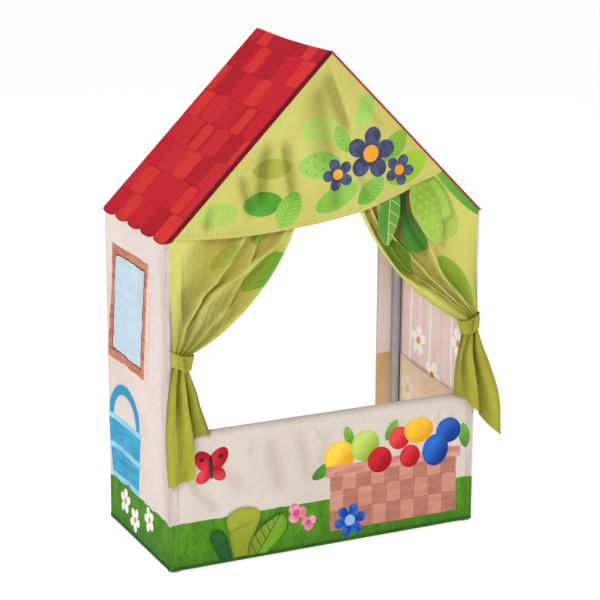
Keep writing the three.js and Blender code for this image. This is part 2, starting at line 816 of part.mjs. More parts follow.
const roundLeafShares = [
  [0, 0.42],
  [0.3, 0.5],
  [0.55, 0.46],
  [0.85, 0.24],
  [1, 0.06],
];
const strapLeafShares = [
  [0, 0.13],
  [0.27, 0.14],
  [0.45, 0.27],
  [0.65, 0.46],
  [0.85, 0.5],
  [1, 0.24],
];
const quiltedLeafShares = [
  [0, 0.28],
  [0.1, 0.4],
  [0.35, 0.5],
  [0.55, 0.43],
  [0.8, 0.32],
  [1, 0.08],
];
const bluntLeafShares = [
  [0, 0.24],
  [0.25, 0.44],
  [0.65, 0.5],
  [0.9, 0.42],
  [1, 0.24],
];

// The four leaves that hang loose from the hem of the pediment. Each root is a stretch of the hem
// and each tip an offset from it, as shares of the half width and of the leaf's own length.
const looseLeaves = [
  { name: "veined_leaf", length: veinedLeafLength, width: veinedLeafWidth, layer: 0, lift: 0 },
  { name: "strap_leaf", length: strapLeafLength, width: strapLeafWidth, layer: 0, lift: 0 },
  { name: "blunt_leaf", length: bluntLeafLength, width: bluntLeafWidth, layer: 0, lift: 0 },
  {
    name: "quilted_leaf",
    length: quiltedLeafLength,
    width: quiltedLeafWidth,
    layer: 1,
    lift: quiltedLeafLift,
  },
];
const looseFinishes = {
  veined_leaf: leafBright,
  strap_leaf: leafDark,
  blunt_leaf: leafLight,
  quilted_leaf: leafLight,
};
const looseLeafShares = {
  veined_leaf: { root: [0.325, 0.452], lean: -0.07, bowShare: 0, widthShares: roundLeafShares },
  strap_leaf: { root: [0.462, 0.494], lean: 0.34, bowShare: -0.33, widthShares: strapLeafShares },
  blunt_leaf: { root: [0.615, 0.68], lean: 0.42, bowShare: 0, widthShares: bluntLeafShares },
  quilted_leaf: { root: [0.512, 0.615], lean: 0.36, bowShare: 0, widthShares: quiltedLeafShares },
};

function looseLeafForm(leaf) {
  const shares = looseLeafShares[leaf.name];
  const drop = leafRootGap + leafThickness / 2 - leaf.lift;
  const [rootFrom, rootTo] = shares.root.map((share) => {
    const x = share * halfWidth;
    return new THREE.Vector2(x, hemHeight(x) - drop);
  });
  const tip = rootFrom.clone().lerp(rootTo, 1 / 2);
  tip.x += leaf.length * shares.lean;
  tip.y -= leaf.length * Math.sqrt(1 - shares.lean * shares.lean);
  const y = -(seatGap + leafThickness / 2) - leaf.layer * (leafThickness + seatGap);
  return { ...shares, rootFrom, rootTo, tip, y, width: leaf.width, thickness: leafThickness };
}

function buildLooseLeaves() {
  for (const leaf of looseLeaves) {
    addPart(leaf.name, leafSolid(looseLeafForm(leaf)), looseFinishes[leaf.name]);
  }
}

// The three leaves sewn upright on the lower left of the stage front, standing on the hem binding.
const sewnLeaves = [
  { name: "sewn_dark_leaf", length: sewnDarkLeafLength, width: sewnDarkLeafWidth, layer: 0 },
  { name: "sewn_pocket_leaf", length: sewnPocketLeafLength, width: sewnPocketLeafWidth, layer: 0 },
  { name: "sewn_veined_leaf", length: sewnVeinedLeafLength, width: sewnVeinedLeafWidth, layer: 1 },
];
const sewnFinishes = {
  sewn_dark_leaf: leafDark,
  sewn_pocket_leaf: leafOlive,
  sewn_veined_leaf: leafBright,
};
const sewnLeafShares = {
  sewn_dark_leaf: {
    middle: -0.655,
    lean: -0.3,
    bowShare: 0,
    widthShares: [
      [0, 0.36],
      [0.5, 0.48],
      [0.8, 0.46],
      [1, 0.24],
    ],
  },
  sewn_pocket_leaf: {
    middle: -0.56,
    lean: 0.08,
    bowShare: 0,
    widthShares: [
      [0, 0.21],
      [0.5, 0.38],
      [0.8, 0.5],
      [0.94, 0.36],
      [1, 0.1],
    ],
  },
  sewn_veined_leaf: {
    middle: -0.455,
    lean: 0.55,
    bowShare: 0,
    widthShares: [
      [0, 0.34],
      [0.4, 0.49],
      [0.7, 0.5],
      [0.86, 0.34],
      [1, 0.07],
    ],
  },
};

function buildSewnLeaves() {
  const base = hemLift + bindingHeight + seatGap + sewnLeafThickness / 2;
  for (const leaf of sewnLeaves) {
    const shares = sewnLeafShares[leaf.name];
    const middle = shares.middle * halfWidth;
    const rootHalf = leaf.width * shares.widthShares[0][1];
    const rootFrom = new THREE.Vector2(middle + rootHalf, base);
    const rootTo = new THREE.Vector2(middle - rootHalf, base);
    const rise = leaf.length * Math.sqrt(1 - shares.lean * shares.lean);
    const tip = new THREE.Vector2(middle + leaf.length * shares.lean, base + rise);
    const y = -(seatGap + sewnLeafThickness / 2) - leaf.layer * (sewnLeafThickness + seatGap);
    const form = { ...shares, rootFrom, rootTo, tip, y, width: leaf.width, thickness: sewnLeafThickness };
    addPart(leaf.name, leafSolid(form), sewnFinishes[leaf.name]);
  }
}

buildFrame();
buildSill();
buildRoof();
buildGableBindings();
buildWalls();
buildInnerPocket();
buildFrontPanel();
buildPediment();
buildCurtains();
buildTieBacks();
buildLooseLeaves();
buildSewnLeaves();

// Stands the finished object on its bottom centre.
const bounds = new THREE.Box3().setFromObject(group);
const centre = bounds.getCenter(new THREE.Vector3());
group.position.set(-centre.x, -centre.y, -bounds.min.z);

const stand = new THREE.Group();
stand.add(group);

export default stand;
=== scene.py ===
import json
import math

import bmesh
import bpy
from mathutils import Matrix, Vector, noise

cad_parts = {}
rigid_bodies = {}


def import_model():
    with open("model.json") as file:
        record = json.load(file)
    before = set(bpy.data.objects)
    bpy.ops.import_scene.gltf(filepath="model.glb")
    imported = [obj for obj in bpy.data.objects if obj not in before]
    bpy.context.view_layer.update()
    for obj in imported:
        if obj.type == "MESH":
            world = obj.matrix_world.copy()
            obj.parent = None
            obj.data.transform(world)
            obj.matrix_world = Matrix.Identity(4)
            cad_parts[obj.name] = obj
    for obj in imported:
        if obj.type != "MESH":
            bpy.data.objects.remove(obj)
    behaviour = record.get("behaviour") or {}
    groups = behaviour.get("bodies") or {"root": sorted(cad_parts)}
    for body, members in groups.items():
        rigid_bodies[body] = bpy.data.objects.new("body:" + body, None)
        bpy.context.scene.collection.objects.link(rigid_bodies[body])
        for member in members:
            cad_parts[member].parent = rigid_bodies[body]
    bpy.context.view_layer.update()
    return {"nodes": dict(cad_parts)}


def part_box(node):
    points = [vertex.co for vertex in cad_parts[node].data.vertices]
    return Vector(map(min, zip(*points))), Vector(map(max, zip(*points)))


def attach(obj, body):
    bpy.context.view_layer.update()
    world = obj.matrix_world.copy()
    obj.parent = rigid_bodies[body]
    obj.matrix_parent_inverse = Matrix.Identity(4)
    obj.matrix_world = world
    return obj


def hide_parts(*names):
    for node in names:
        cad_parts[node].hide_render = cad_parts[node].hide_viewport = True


for extra in list(bpy.data.objects):  # Blender's own start-up objects
    bpy.data.objects.remove(extra)
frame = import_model()

# The house's own frame: x from its middle, y from the front wall backwards, z from the floor
leftWall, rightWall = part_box("left_wall"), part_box("right_wall")
house = {
    "x": (leftWall[0].x + rightWall[1].x) / 2,
    "y": leftWall[0].y,
    "half": (rightWall[1].x - leftWall[0].x) / 2,
    "depth": leftWall[1].y - leftWall[0].y,
    "wallTop": leftWall[1].z,
    "hemLift": leftWall[0].z,
    "sill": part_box("front_panel")[1].z,
    "eave": 0.600,
    "apex": 0.908,
    "cloth": 0.0012,
    "gap": 0.0003,
}
half = house["half"]
slope = math.atan2(house["apex"] - house["eave"], half)
slopeLength = math.hypot(house["apex"] - house["eave"], half)


def toRow(x, y, z):
    return Vector((x + house["x"], y + house["y"], z))


def smooth(value):
    t = min(max(value, 0.0), 1.0)
    return t * t * (3 - 2 * t)


def mix(low, high, share):
    return low + (high - low) * share


def ripple(x, y, z=0.0):  # smooth noise between about -1 and 1
    return noise.noise(Vector((x, y, z)))


def curveThrough(rows):  # smooth y(x) through the rows, flat beyond both ends
    def at(x):
        i = 0
        while i < len(rows) - 2 and x > rows[i + 1][0]:
            i += 1
        (x1, y1), (x2, y2) = rows[i], rows[i + 1]
        x0, y0 = rows[max(i - 1, 0)]
        x3, y3 = rows[min(i + 2, len(rows) - 1)]
        t = min(max((x - x1) / (x2 - x1), 0), 1)
        slopeIn = (y2 - y0) / (x2 - x0) * (x2 - x1)
        slopeOut = (y3 - y1) / (x3 - x1) * (x2 - x1)
        t2, t3 = t * t, t * t * t
        ends = (2 * t3 - 3 * t2 + 1) * y1 + (3 * t2 - 2 * t3) * y2
        return ends + (t3 - 2 * t2 + t) * slopeIn + (t3 - t2) * slopeOut

    return at


def bezier(points, t):
    s = 1 - t
    weights = (s * s * s, 3 * s * s * t, 3 * s * t * t, t * t * t)
    return sum(w * p for w, p in zip(weights, points))


# Camera, light and floor

view = {
    "place": (-1.54424, -3.10441, 1.43719),
    "yaw": 25.617,
    "pitch": 15.665,
    "roll": 0.311,
    "focal": 2044.9 / 600 * 36,
}


def aimCamera():
    yaw, pitch, roll = (math.radians(view[key]) for key in ("yaw", "pitch", "roll"))
    ahead = Vector((math.sin(yaw) * math.cos(pitch), math.cos(yaw) * math.cos(pitch), -math.sin(pitch)))
    across = Vector((math.cos(yaw), -math.sin(yaw), 0))
    above = across.cross(ahead)
    right = across * math.cos(roll) + above * math.sin(roll)
    up = above * math.cos(roll) - across * math.sin(roll)
    camera = bpy.data.objects.new("photoCamera", bpy.data.cameras.new("photoCamera"))
    bpy.context.scene.collection.objects.link(camera)
    turn = Matrix((right, up, -ahead)).transposed().to_4x4()
    camera.matrix_world = Matrix.Translation(toRow(*view["place"])) @ turn
    camera.data.lens = view["focal"]
    camera.data.sensor_width = 36
    camera.data.clip_end = 60
    bpy.context.scene.camera = camera


lamps = {
    "keyLamp": {"place": (-2.1, -2.2, 2.0), "size": 0.9, "power": 44},
    "fillLamp": {"place": (2.2, -2.6, 1.4), "size": 1.6, "power": 9},
    "topLamp": {"place": (0.2, 0.4, 3.0), "size": 1.6, "power": 15},
}


def lightStudio():
    for name, lamp in lamps.items():
        light = bpy.data.lights.new(name, "AREA")
        light.shape = "DISK"
        light.size = lamp["size"]
        light.energy = lamp["power"]
        piece = bpy.data.objects.new(name, light)
        bpy.context.scene.collection.objects.link(piece)
        spot = Vector(lamp["place"])
        piece.location = spot
        piece.rotation_mode = "QUATERNION"
        piece.rotation_quaternion = (Vector((0, 0, 0.45)) - spot).to_track_quat("-Z", "Y")
    world = bpy.data.worlds.new("studio")
    bpy.context.scene.world = world
    world.use_nodes = True
    tree = world.node_tree
    backdrop = tree.nodes["Background"]
    backdrop.inputs["Color"].default_value = (1, 1, 1, 1)
    backdrop.inputs["Strength"].default_value = 0.48
    seen = tree.nodes.new("ShaderNodeBackground")
    seen.inputs["Color"].default_value = (1, 1, 1, 1)
    seen.inputs["Strength"].default_value = 1.0
    path = tree.nodes.new("ShaderNodeLightPath")
    either = tree.nodes.new("ShaderNodeMixShader")
    tree.links.new(path.outputs["Is Camera Ray"], either.inputs["Fac"])
    tree.links.new(backdrop.outputs[0], either.inputs[1])
    tree.links.new(seen.outputs[0], either.inputs[2])
    tree.links.new(either.outputs[0], tree.nodes["World Output"].inputs["Surface"])


def layFloor():
    mesh = bpy.data.meshes.new("studioFloor")
    reach = 30
    corners = [(-reach, -reach, 0), (reach, -reach, 0), (reach, reach, 0), (-reach, reach, 0)]
    mesh.from_pydata(corners, [], [(0, 1, 2, 3)])
    floor = bpy.data.objects.new("studioFloor", mesh)
    bpy.context.scene.collection.objects.link(floor)
    pale = bpy.data.materials.new("paleFloor")
    pale.use_nodes = True
    shader = pale.node_tree.nodes["Principled BSDF"]
    shader.inputs["Base Color"].default_value = (0.9, 0.9, 0.9, 1)
    shader.inputs["Roughness"].default_value = 0.9
    shader.inputs["Emission Color"].default_value = (1, 1, 1, 1)
    shader.inputs["Emission Strength"].default_value = 0.53
    mesh.materials.append(pale)


bpy.context.scene.view_settings.view_transform = "Standard"
aimCamera()
lightStudio()
layFloor()
print("camera, lamps and floor ready")

# Shader helpers: each adds one node and hands back its output


def paint(code):  # a screen colour such as c4c864 as the shader's own colour
    parts = [int(code[i : i + 2], 16) / 255 for i in (0, 2, 4)]
    return tuple(c / 12.92 if c <= 0.04045 else ((c + 0.055) / 1.055) ** 2.4 for c in parts) + (1,)


def operator(operation, swapped=False):
    def work(self, other):
        return calc(operation, other, self) if swapped else calc(operation, self, other)

    return work


class Wire:  # a node's output: a sum written with it adds the math nodes
    def __init__(self, socket):
        self.socket = socket

    def __abs__(self):
        return calc("ABSOLUTE", self)

    __add__, __radd__ = operator("ADD"), operator("ADD", True)
    __sub__, __rsub__ = operator("SUBTRACT"), operator("SUBTRACT", True)
    __mul__, __rmul__ = operator("MULTIPLY"), operator("MULTIPLY", True)
    __truediv__, __rtruediv__ = operator("DIVIDE"), operator("DIVIDE", True)
    __pow__, __mod__ = operator("POWER"), operator("FLOORED_MODULO")
    __lt__, __gt__ = operator("LESS_THAN"), operator("GREATER_THAN")


def feed(socket, value):
    if isinstance(value, Wire):
        socket.id_data.links.new(value.socket, socket)
    else:
        socket.default_value = paint(value) if isinstance(value, str) else value


def add(kind, inputs, output=0, tree=None, **settings):  # a node in the tree of its first wired input
    tree = tree or next(value.socket.id_data for value in inputs.values() if isinstance(value, Wire))
    node = tree.nodes.new(kind)
    for label, value in settings.items():
        setattr(node, label, value)
    for key, value in inputs.items():
        feed(node.inputs[key], value)
    return Wire(node.outputs[output])


def calc(operation, *values):
    return add("ShaderNodeMath", dict(enumerate(values)), operation=operation)


def lengthOf(x, y):
    return calc("SQRT", x * x + y * y)


def soft(value, low, high):  # 0 below low, 1 above high
    return add("ShaderNodeMapRange", {0: value, 1: low, 2: high}, interpolation_type="SMOOTHSTEP")


def split(point):
    return [Wire(output) for output in add("ShaderNodeSeparateXYZ", {0: point}).socket.node.outputs]


def combine(x=0.0, y=0.0, z=0.0):
    return add("ShaderNodeCombineXYZ", {0: x, 1: y, 2: z})


def blend(mask, low, high, **settings):
    return add("ShaderNodeMix", {0: mask, 6: low, 7: high}, 2, data_type="RGBA", **settings)


def cloudy(point, scale, detail=2.0, roughness=0.5, distortion=0.0):
    inputs = {"Vector": point, "Scale": scale, "Detail": detail, "Roughness": roughness}
    return add("ShaderNodeTexNoise", {**inputs, "Distortion": distortion}, "Fac")


def stretch(point, x, y, z=1.0):
    return add("ShaderNodeMapping", {"Vector": point, "Scale": (x, y, z)})


def grow(vector, size):
    return add("ShaderNodeVectorMath", {0: vector, "Scale": size}, operation="SCALE")


def dice(point):  # one random number for each whole-number place
    return add("ShaderNodeTexWhiteNoise", {"Vector": point}, "Value")


def bump(height, distance, strength, **inputs):
    return add("ShaderNodeBump", {"Height": height, "Distance": distance, "Strength": strength, **inputs})


def newGroup(name, inputs, outputs):
    tree = bpy.data.node_groups.new(name, "ShaderNodeTree")
    for label, value in inputs.items():
        kind = "NodeSocketVector" if value is None else "NodeSocketFloat"
        socket = tree.interface.new_socket(label, in_out="INPUT", socket_type=kind)
        if value is not None:
            socket.default_value = value
    for label in outputs:
        tree.interface.new_socket(label, in_out="OUTPUT", socket_type="NodeSocketFloat")
    given = {socket.name: Wire(socket) for socket in tree.nodes.new("NodeGroupInput").outputs}
    return given, tree.nodes.new("NodeGroupOutput").inputs


def closeGroup(out, **values):
    for label, value in values.items():
        feed(out[label], value)
    return out[0].id_data


def place(group, **values):  # one copy of a group, its inputs fed by name
    outputs = add("ShaderNodeGroup", values, node_tree=groups[group]).socket.node.outputs
    return {output.name: Wire(output) for output in outputs}


def newMaterial(name, **constants):
    material = bpy.data.materials.new(name)
    material.use_nodes = True
    shader = material.node_tree.nodes["Principled BSDF"]
    for label, value in constants.items():
        shader.inputs[label.replace("_", " ")].default_value = value
    return material, shader.inputs


# Shader groups that several cloths share


def makeWeave():  # plain weave with slubs: a height for the bump and a slight tint
    given, out = newGroup("plainWeave", {"Point": None, "Thread": 0.0006}, ["Height", "Tint"])
    x, y, _ = split(given["Point"])
    turns = math.pi / given["Thread"]
    cross = calc("SINE", x * turns) * calc("SINE", y * turns)
    slubs = cloudy(stretch(given["Point"], 260, 2600), 1.0, 2.0)
    picks = cloudy(stretch(given["Point"], 2600, 260), 1.0, 2.0)
    uneven = slubs + picks
    return closeGroup(out, Height=cross * 0.5 + uneven, Tint=uneven * 0.5 - 0.5)


def makeCreases():  # soft handling creases and broad unevenness of a made-up cloth
    given, out = newGroup("clothCreases", {"Point": None, "Size": 1.0}, ["Height", "Shade"])
    point = grow(given["Point"], given["Size"])
    broad = cloudy(point, 9.0, 3.0, 0.55)
    ridge = abs(cloudy(point, 16.0, 2.0, distortion=0.7) - 0.5)
    return closeGroup(out, Height=broad + soft(ridge, 0.0, 0.09) * 0.35, Shade=broad - 0.5)


def localPoint(given):  # the point seen from a motif's own centre and angle
    x, y, _ = split(given["Point"])
    x, y = x - given["X"], y - given["Y"]
    angle = calc("RADIANS", given["Angle"])
    c, s = calc("COSINE", angle), calc("SINE", angle)
    return x * c + y * s, y * c - x * s


spot = {"Point": None, "X": 0.0, "Y": 0.0, "Angle": 0.0, "Length": 0.06, "Width": 0.03}


def makeLeafPrint():  # a printed leaf: its shape, its veins and a grid of small dots
    inputs = {**spot, "Blunt": 0.7, "Spacing": 0.0085, "Line": 0.0005, "Dot": 0.0165}
    given, out = newGroup("leafPrint", inputs, ["Mask", "Vein", "Dots", "Shade"])
    along, across = localPoint(given)
    share = along * 2.0 / given["Length"]
    bulge = calc("MAXIMUM", 1.0 - share * share, 0.0)
    halfWidth = bulge ** given["Blunt"] * (given["Width"] * 0.5)
    side = abs(across)
    inside = halfWidth - side
    mask = soft(inside, 0.0, 0.0006)
    line = given["Line"]
    wide = line * 2.0
    rib = 1.0 - soft(side, line, wide)
    rows = (along - side * 0.9) / given["Spacing"]
    offset = abs(calc("FRACT", rows) - 0.5) * given["Spacing"]
    branch = (1.0 - soft(offset, line * 0.8, wide)) * soft(inside, 0.001, 0.002)
    vein = calc("MAXIMUM", rib, branch) * mask
    column = along / given["Dot"]
    row = across / given["Dot"] + calc("FLOOR", column) % 2.0 * 0.5
    cellX = calc("FRACT", column) - 0.5
    cellY = calc("FRACT", row) - 0.5
    away = lengthOf(cellX, cellY)
    rays = calc("COSINE", calc("ARCTAN2", cellY, cellX) * 5.0)
    away = away / (1.0 + rays * 0.3)
    dots = (1.0 - soft(away, 0.13, 0.18)) * mask
    return closeGroup(out, Mask=mask, Vein=vein, Dots=dots, Shade=share)


def makeRoundPrint():  # a printed disc with a soft light side and a fine edge
    given, out = newGroup("roundPrint", spot, ["Mask", "Edge", "Shade"])
    along, across = localPoint(given)
    a = along / (given["Length"] * 0.5)
    b = across / (given["Width"] * 0.5)
    away = lengthOf(a, b)
    return closeGroup(out, Mask=1.0 - soft(away, 0.98, 1.01), Edge=soft(away, 0.72, 1.0), Shade=b - a)


def makeFlowerPrint():  # a printed flower of rounded petals round a heart
    given, out = newGroup(
        "flowerPrint", {**spot, "Petals": 5.0, "Heart": 0.3, "Cut": 0.42}, ["Petals", "Heart", "Line"],
    )
    along, across = localPoint(given)
    share = lengthOf(along, across) / (given["Length"] * 0.5)
    turn = calc("ARCTAN2", across, along) * (given["Petals"] * 0.5)
    lobe = abs(calc("COSINE", turn)) ** 0.55
    rim = given["Cut"] + lobe * (1.0 - given["Cut"])
    petals = soft(rim - share, 0.0, 0.03)
    return closeGroup(
        out,
        Petals=petals,
        Heart=1.0 - soft(share, given["Heart"], given["Heart"] + 0.03),
        Line=petals * (1.0 - soft(lobe, 0.25, 0.6)),
    )


def makeBarPrint():  # a printed bar with a hand-drawn edge, also a window or a plank
    given, out = newGroup("barPrint", {**spot, "Wobble": 0.0}, ["Mask"])
    along, across = localPoint(given)
    sway = cloudy(stretch(given["Point"], 22, 22), 1.0, 1.0)
    sway = (sway - 0.5) * given["Wobble"]
    insideA = given["Length"] * 0.5 - abs(along + sway)
    insideB = given["Width"] * 0.5 - abs(across + sway)
    return closeGroup(out, Mask=soft(calc("MINIMUM", insideA, insideB), 0.0, 0.0006))


def makeGrassPrint():  # a strip of grass with short dark strokes and a ragged top
    given, out = newGroup(
        "grassPrint", {"Point": None, "Top": 0.09, "Ragged": 0.004}, ["Mask", "Stroke", "Light"],
    )
    x, y, _ = split(given["Point"])
    bumpy = cloudy(combine(x * 26), 1.0, 2.0)
    top = given["Top"] + (bumpy - 0.5) * given["Ragged"]
    mask = soft(top - y, 0.0, 0.0007)
    strokes = 0.0
    layers = ((0.019, 0.023, 0.0, 0.10), (0.024, 0.019, 7.3, -0.12), (0.015, 0.027, 3.6, 0.03))
    for width, height, shift, lean in layers:
        column = (x + y * lean) / width + shift
        row = y / height + shift
        luck = dice(combine(calc("FLOOR", column), calc("FLOOR", row), shift))
        slide = 0.28 + luck * 0.44
        away = abs(calc("FRACT", column) - slide) * width
        blade = 0.0011 - abs((calc("FRACT", row) - slide) * height) * 0.16
        drawn = soft(blade - away, 0.0, 0.0003) * (luck > 0.36)
        strokes = calc("MAXIMUM", strokes, drawn)
    tips = soft(top + 0.005 - y, 0.0, 0.003)
    return closeGroup(
        out,
        Mask=mask,
        Stroke=strokes * tips,
        Light=cloudy(stretch(given["Point"], 30, 12), 1.0, 2.0),
    )


def makeShinglePrint():  # rows of round-ended shingles, each with its own red
    inputs = {"Point": None, "Width": 0.0608, "Row": 0.0585, "Overhang": 0.010, "Start": 0.0}
    given, out = newGroup("shinglePrint", inputs, ["Chance", "Strip", "Line"])
    x, y, _ = split(given["Point"])
    rowPlace = (y - given["Start"]) / given["Row"]
    row = calc("FLOOR", rowPlace)
    below = calc("FRACT", rowPlace) * given["Row"]
    across = x / given["Width"]

    def tileAt(rowNumber):
        stagger = calc("MODULO", abs(rowNumber), 2.0) * 0.5
        where = across + stagger
        return calc("FLOOR", where), calc("FRACT", where) - 0.5

    aboveRow = row - 1.0
    aboveTile, aboveX = tileAt(aboveRow)
    reach = (1.0 - abs(aboveX * 2.0) ** 3.4) ** 0.5 * given["Overhang"]
    isAbove = below < reach
    ownTile, ownX = tileAt(row)

    def pick(high, low):
        return isAbove * high + (1.0 - isAbove) * low

    tile, tileRow = pick(aboveTile, ownTile), pick(aboveRow, row)
    narrow = (tile + tileRow) % 3.0 < 0.5
    wide = dice(combine(tile, tileRow, 5.0)) > 0.5
    down = pick(below + given["Row"], below)
    level = (down - 0.0105) / given["Row"]
    corner = calc("MAXIMUM", 0.1 - level, 0.0)
    limit = 0.31 + wide * 0.14 - corner
    sideways = 1.0 - soft(abs(pick(aboveX, ownX)) - limit, 0.0, 0.015)
    edge = abs(below - reach)
    return closeGroup(
        out,
        Chance=dice(combine(tile, tileRow, 0.0)),
        Strip=narrow * sideways * soft(level, 0.0, 0.02),
        Line=1.0 - soft(edge, 0.0003, 0.0012),
    )


def makeCheckPrint():  # over-and-under blocks of broad strips, as in a woven box
    inputs = {"Point": None, "X": 0.0, "Y": 0.0, "Width": 0.03, "Height": 0.03, "Wobble": 0.004}
    given, out = newGroup("checkPrint", inputs, ["Parity", "Edge", "Chance"])
    sway = (cloudy(stretch(given["Point"], 30, 30), 1.0, 1.0) - 0.5) * given["Wobble"]
    x, y, _ = split(given["Point"])
    row = (y + sway - given["Y"]) / given["Height"]
    rowSlide = dice(combine(calc("FLOOR", row), 3.0)) * 0.16
    column = (x + sway - given["X"]) / given["Width"]
    column = column + rowSlide
    parity = (calc("FLOOR", column) + calc("FLOOR", row)) % 2.0

    def fromLine(value, size):
        off = 0.5 - abs(calc("FRACT", value) - 0.5)
        return off * size

    near = calc("MINIMUM", fromLine(column, given["Width"]), fromLine(row, given["Height"]))
    return closeGroup(
        out,
        Parity=parity,
        Edge=1.0 - soft(near, 0.0003, 0.0012),
        Chance=dice(combine(calc("FLOOR", column), calc("FLOOR", row), 9.0)),
    )


groups = {
    "weave": makeWeave(),
    "creases": makeCreases(),
    "leaf": makeLeafPrint(),
    "round": makeRoundPrint(),
    "flower": makeFlowerPrint(),
    "bar": makeBarPrint(),
    "grass": makeGrassPrint(),
    "shingle": makeShinglePrint(),
    "check": makeCheckPrint(),
}
print("shader groups ready")

# Finishes


def clothMaterial(name, colourAt, creaseSize=1.0, creaseDepth=0.0018, valley=None, shadeTint=None):
    material, inputs = newMaterial(name, Sheen_Weight=0.04, Sheen_Roughness=0.4, Specular_IOR_Level=0.16)
    nodes = material.node_tree.nodes
    uv = nodes.new("ShaderNodeUVMap")
    uv.uv_map = "flat"
    point = Wire(uv.outputs["UV"])
    weave = place("weave", Point=point, Thread=0.0007)
    creases = place("creases", Point=point, Size=creaseSize)
    colour = colourAt(point)
    if valley or shadeTint:  # painted shade: the mesh's "shade" attribute, mostly the depth of a fold or hollow, blends the colour towards a darker shade colour, or multiplies it by a shade tint; on the roof's scallop outline and some leaf marks the same attribute carries print
        depth = nodes.new("ShaderNodeAttribute")
        depth.attribute_name = "shade"
        deep = valley(point) if callable(valley) else valley
        if shadeTint:
            deep = blend(1.0, colour, shadeTint, blend_type="MULTIPLY")
        colour = blend(Wire(depth.outputs["Fac"]) * 0.62, colour, deep)
    feed(inputs["Base Color"], grow(colour, 1.0 + weave["Tint"] * 0.1 + creases["Shade"] * 0.1))
    feed(inputs["Roughness"], 0.86 + weave["Tint"] * 0.12)
    broad = bump(creases["Height"], creaseDepth, 0.6)
    feed(inputs["Normal"], bump(weave["Height"], 0.00006, 0.7, Normal=broad))
    return material


def ramp(value, *stops):  # stops of (place, colour), blended in between
    colour = stops[0][1]
    for (low, _), (high, code) in zip(stops, stops[1:]):
        colour = blend(soft(value, low, high), colour, code)
    return colour


def mottled(point, low, high, scale=4.0):  # one dye with soft unevenness
    return blend(soft(cloudy(point, scale, 3.0), 0.3, 0.7), low, high)


def plain(low, high, scale=7.0):
    return lambda point: mottled(point, low, high, scale)


def stamp(group, point, *measures, **values):  # a printed motif: x, y, angle, length, width
    return place(
        group, Point=point, **dict(zip(("X", "Y", "Angle", "Length", "Width"), measures)), **values,
    )


def printLeaves(point, colour, leaves):
    for *measures, low, high, style in leaves:
        made = stamp("leaf", point, *measures, Blunt=0.6)
        body = blend(soft(made["Shade"], -1.0, 1.0), low, high)
        if style != "bare":
            marks = made["Dots" if style == "dotted" else "Vein"] * 0.5
            body = blend(marks, body, "4c8a2a")
        colour = blend(made["Mask"], colour, body)
    return colour


def printFlowers(point, colour, flowers):
    for *measures, petals, low, high, heart in flowers:
        made = stamp("flower", point, *measures, Petals=petals)
        body = blend(soft(cloudy(point, 60.0), 0.35, 0.65), low, high)
        body = blend(made["Line"] * 0.5, body, low)
        colour = blend(made["Petals"], colour, body)
        colour = blend(made["Heart"], colour, heart)
    return colour


def printRounds(point, colour, rounds):
    for *measures, low, high in rounds:
        made = stamp("round", point, *measures)
        body = blend(soft(made["Shade"], -1.1, 0.8), low, high)
        body = blend(made["Edge"] * 0.35, body, low)
        colour = blend(made["Mask"], colour, body)
    return colour


def printBars(point, colour, bars, wobble=0.003):
    for *measures, low, high in bars:
        made = stamp("bar", point, *measures, Wobble=wobble)
        grain = soft(cloudy(stretch(point, 20, 90), 1.0, 3.0), 0.35, 0.65)
        colour = blend(made["Mask"], colour, blend(grain, low, high))
    return colour


def printGrass(point, colour, top, ragged):
    grass = place("grass", Point=point, Top=top, Ragged=ragged)
    green = blend(soft(grass["Light"], 0.35, 0.65), "447e16", "589222")
    _, y, _ = split(point)
    green = blend(soft(y, -0.01, 0.06), "3c741a", green)
    colour = blend(grass["Mask"], colour, green)
    return blend(grass["Stroke"] * 0.85, colour, "265814")


def printDaisies(point, colour, places, size=0.048, petals=5, cut=0.34):
    for i, (x, y) in enumerate(places):
        made = place(
            "flower", Point=point, X=x, Y=y, Angle=18 + 25 * i, Length=size, Petals=petals, Cut=cut,
            Heart=0.24,
        )
        white = blend(made["Line"] * 0.35, "f8f6f1", "cfd0c4")
        colour = blend(made["Petals"], colour, white)
        colour = blend(made["Heart"], colour, "e6a044")
    return colour


# edge: the painted shade along each slope's front edge
roofPrint = {
    "reds": ("b00c1e", "c41226", "c8222c"), "line": "860a1c", "strip": "d8302a", "edge": "740614",
    "repeat": 0.608,
}


def roofColour(point):
    shingle = place("shingle", Point=point, Start=0.022)
    low, middle, high = roofPrint["reds"]
    colour = ramp(shingle["Chance"], (0.0, low), (0.28, low), (0.34, middle), (0.66, middle), (0.72, high))
    streaks = soft(cloudy(stretch(point, 90, 14), 1.0, 3.0), 0.35, 0.7)
    colour = blend(streaks * 0.18, colour, middle)
    colour = blend(shingle["Strip"] * 0.85, colour, roofPrint["strip"])
    colour = blend(shingle["Line"] * 0.6, colour, roofPrint["line"])
    x, _, _ = split(point)
    # painted shade: a darker band in the last 3 to 10 mm by each slope's front edge, where the cloth turns
    # round the rafter
    front = x % roofPrint["repeat"]
    return blend(soft(front, 0.01, 0.003), colour, roofPrint["edge"])


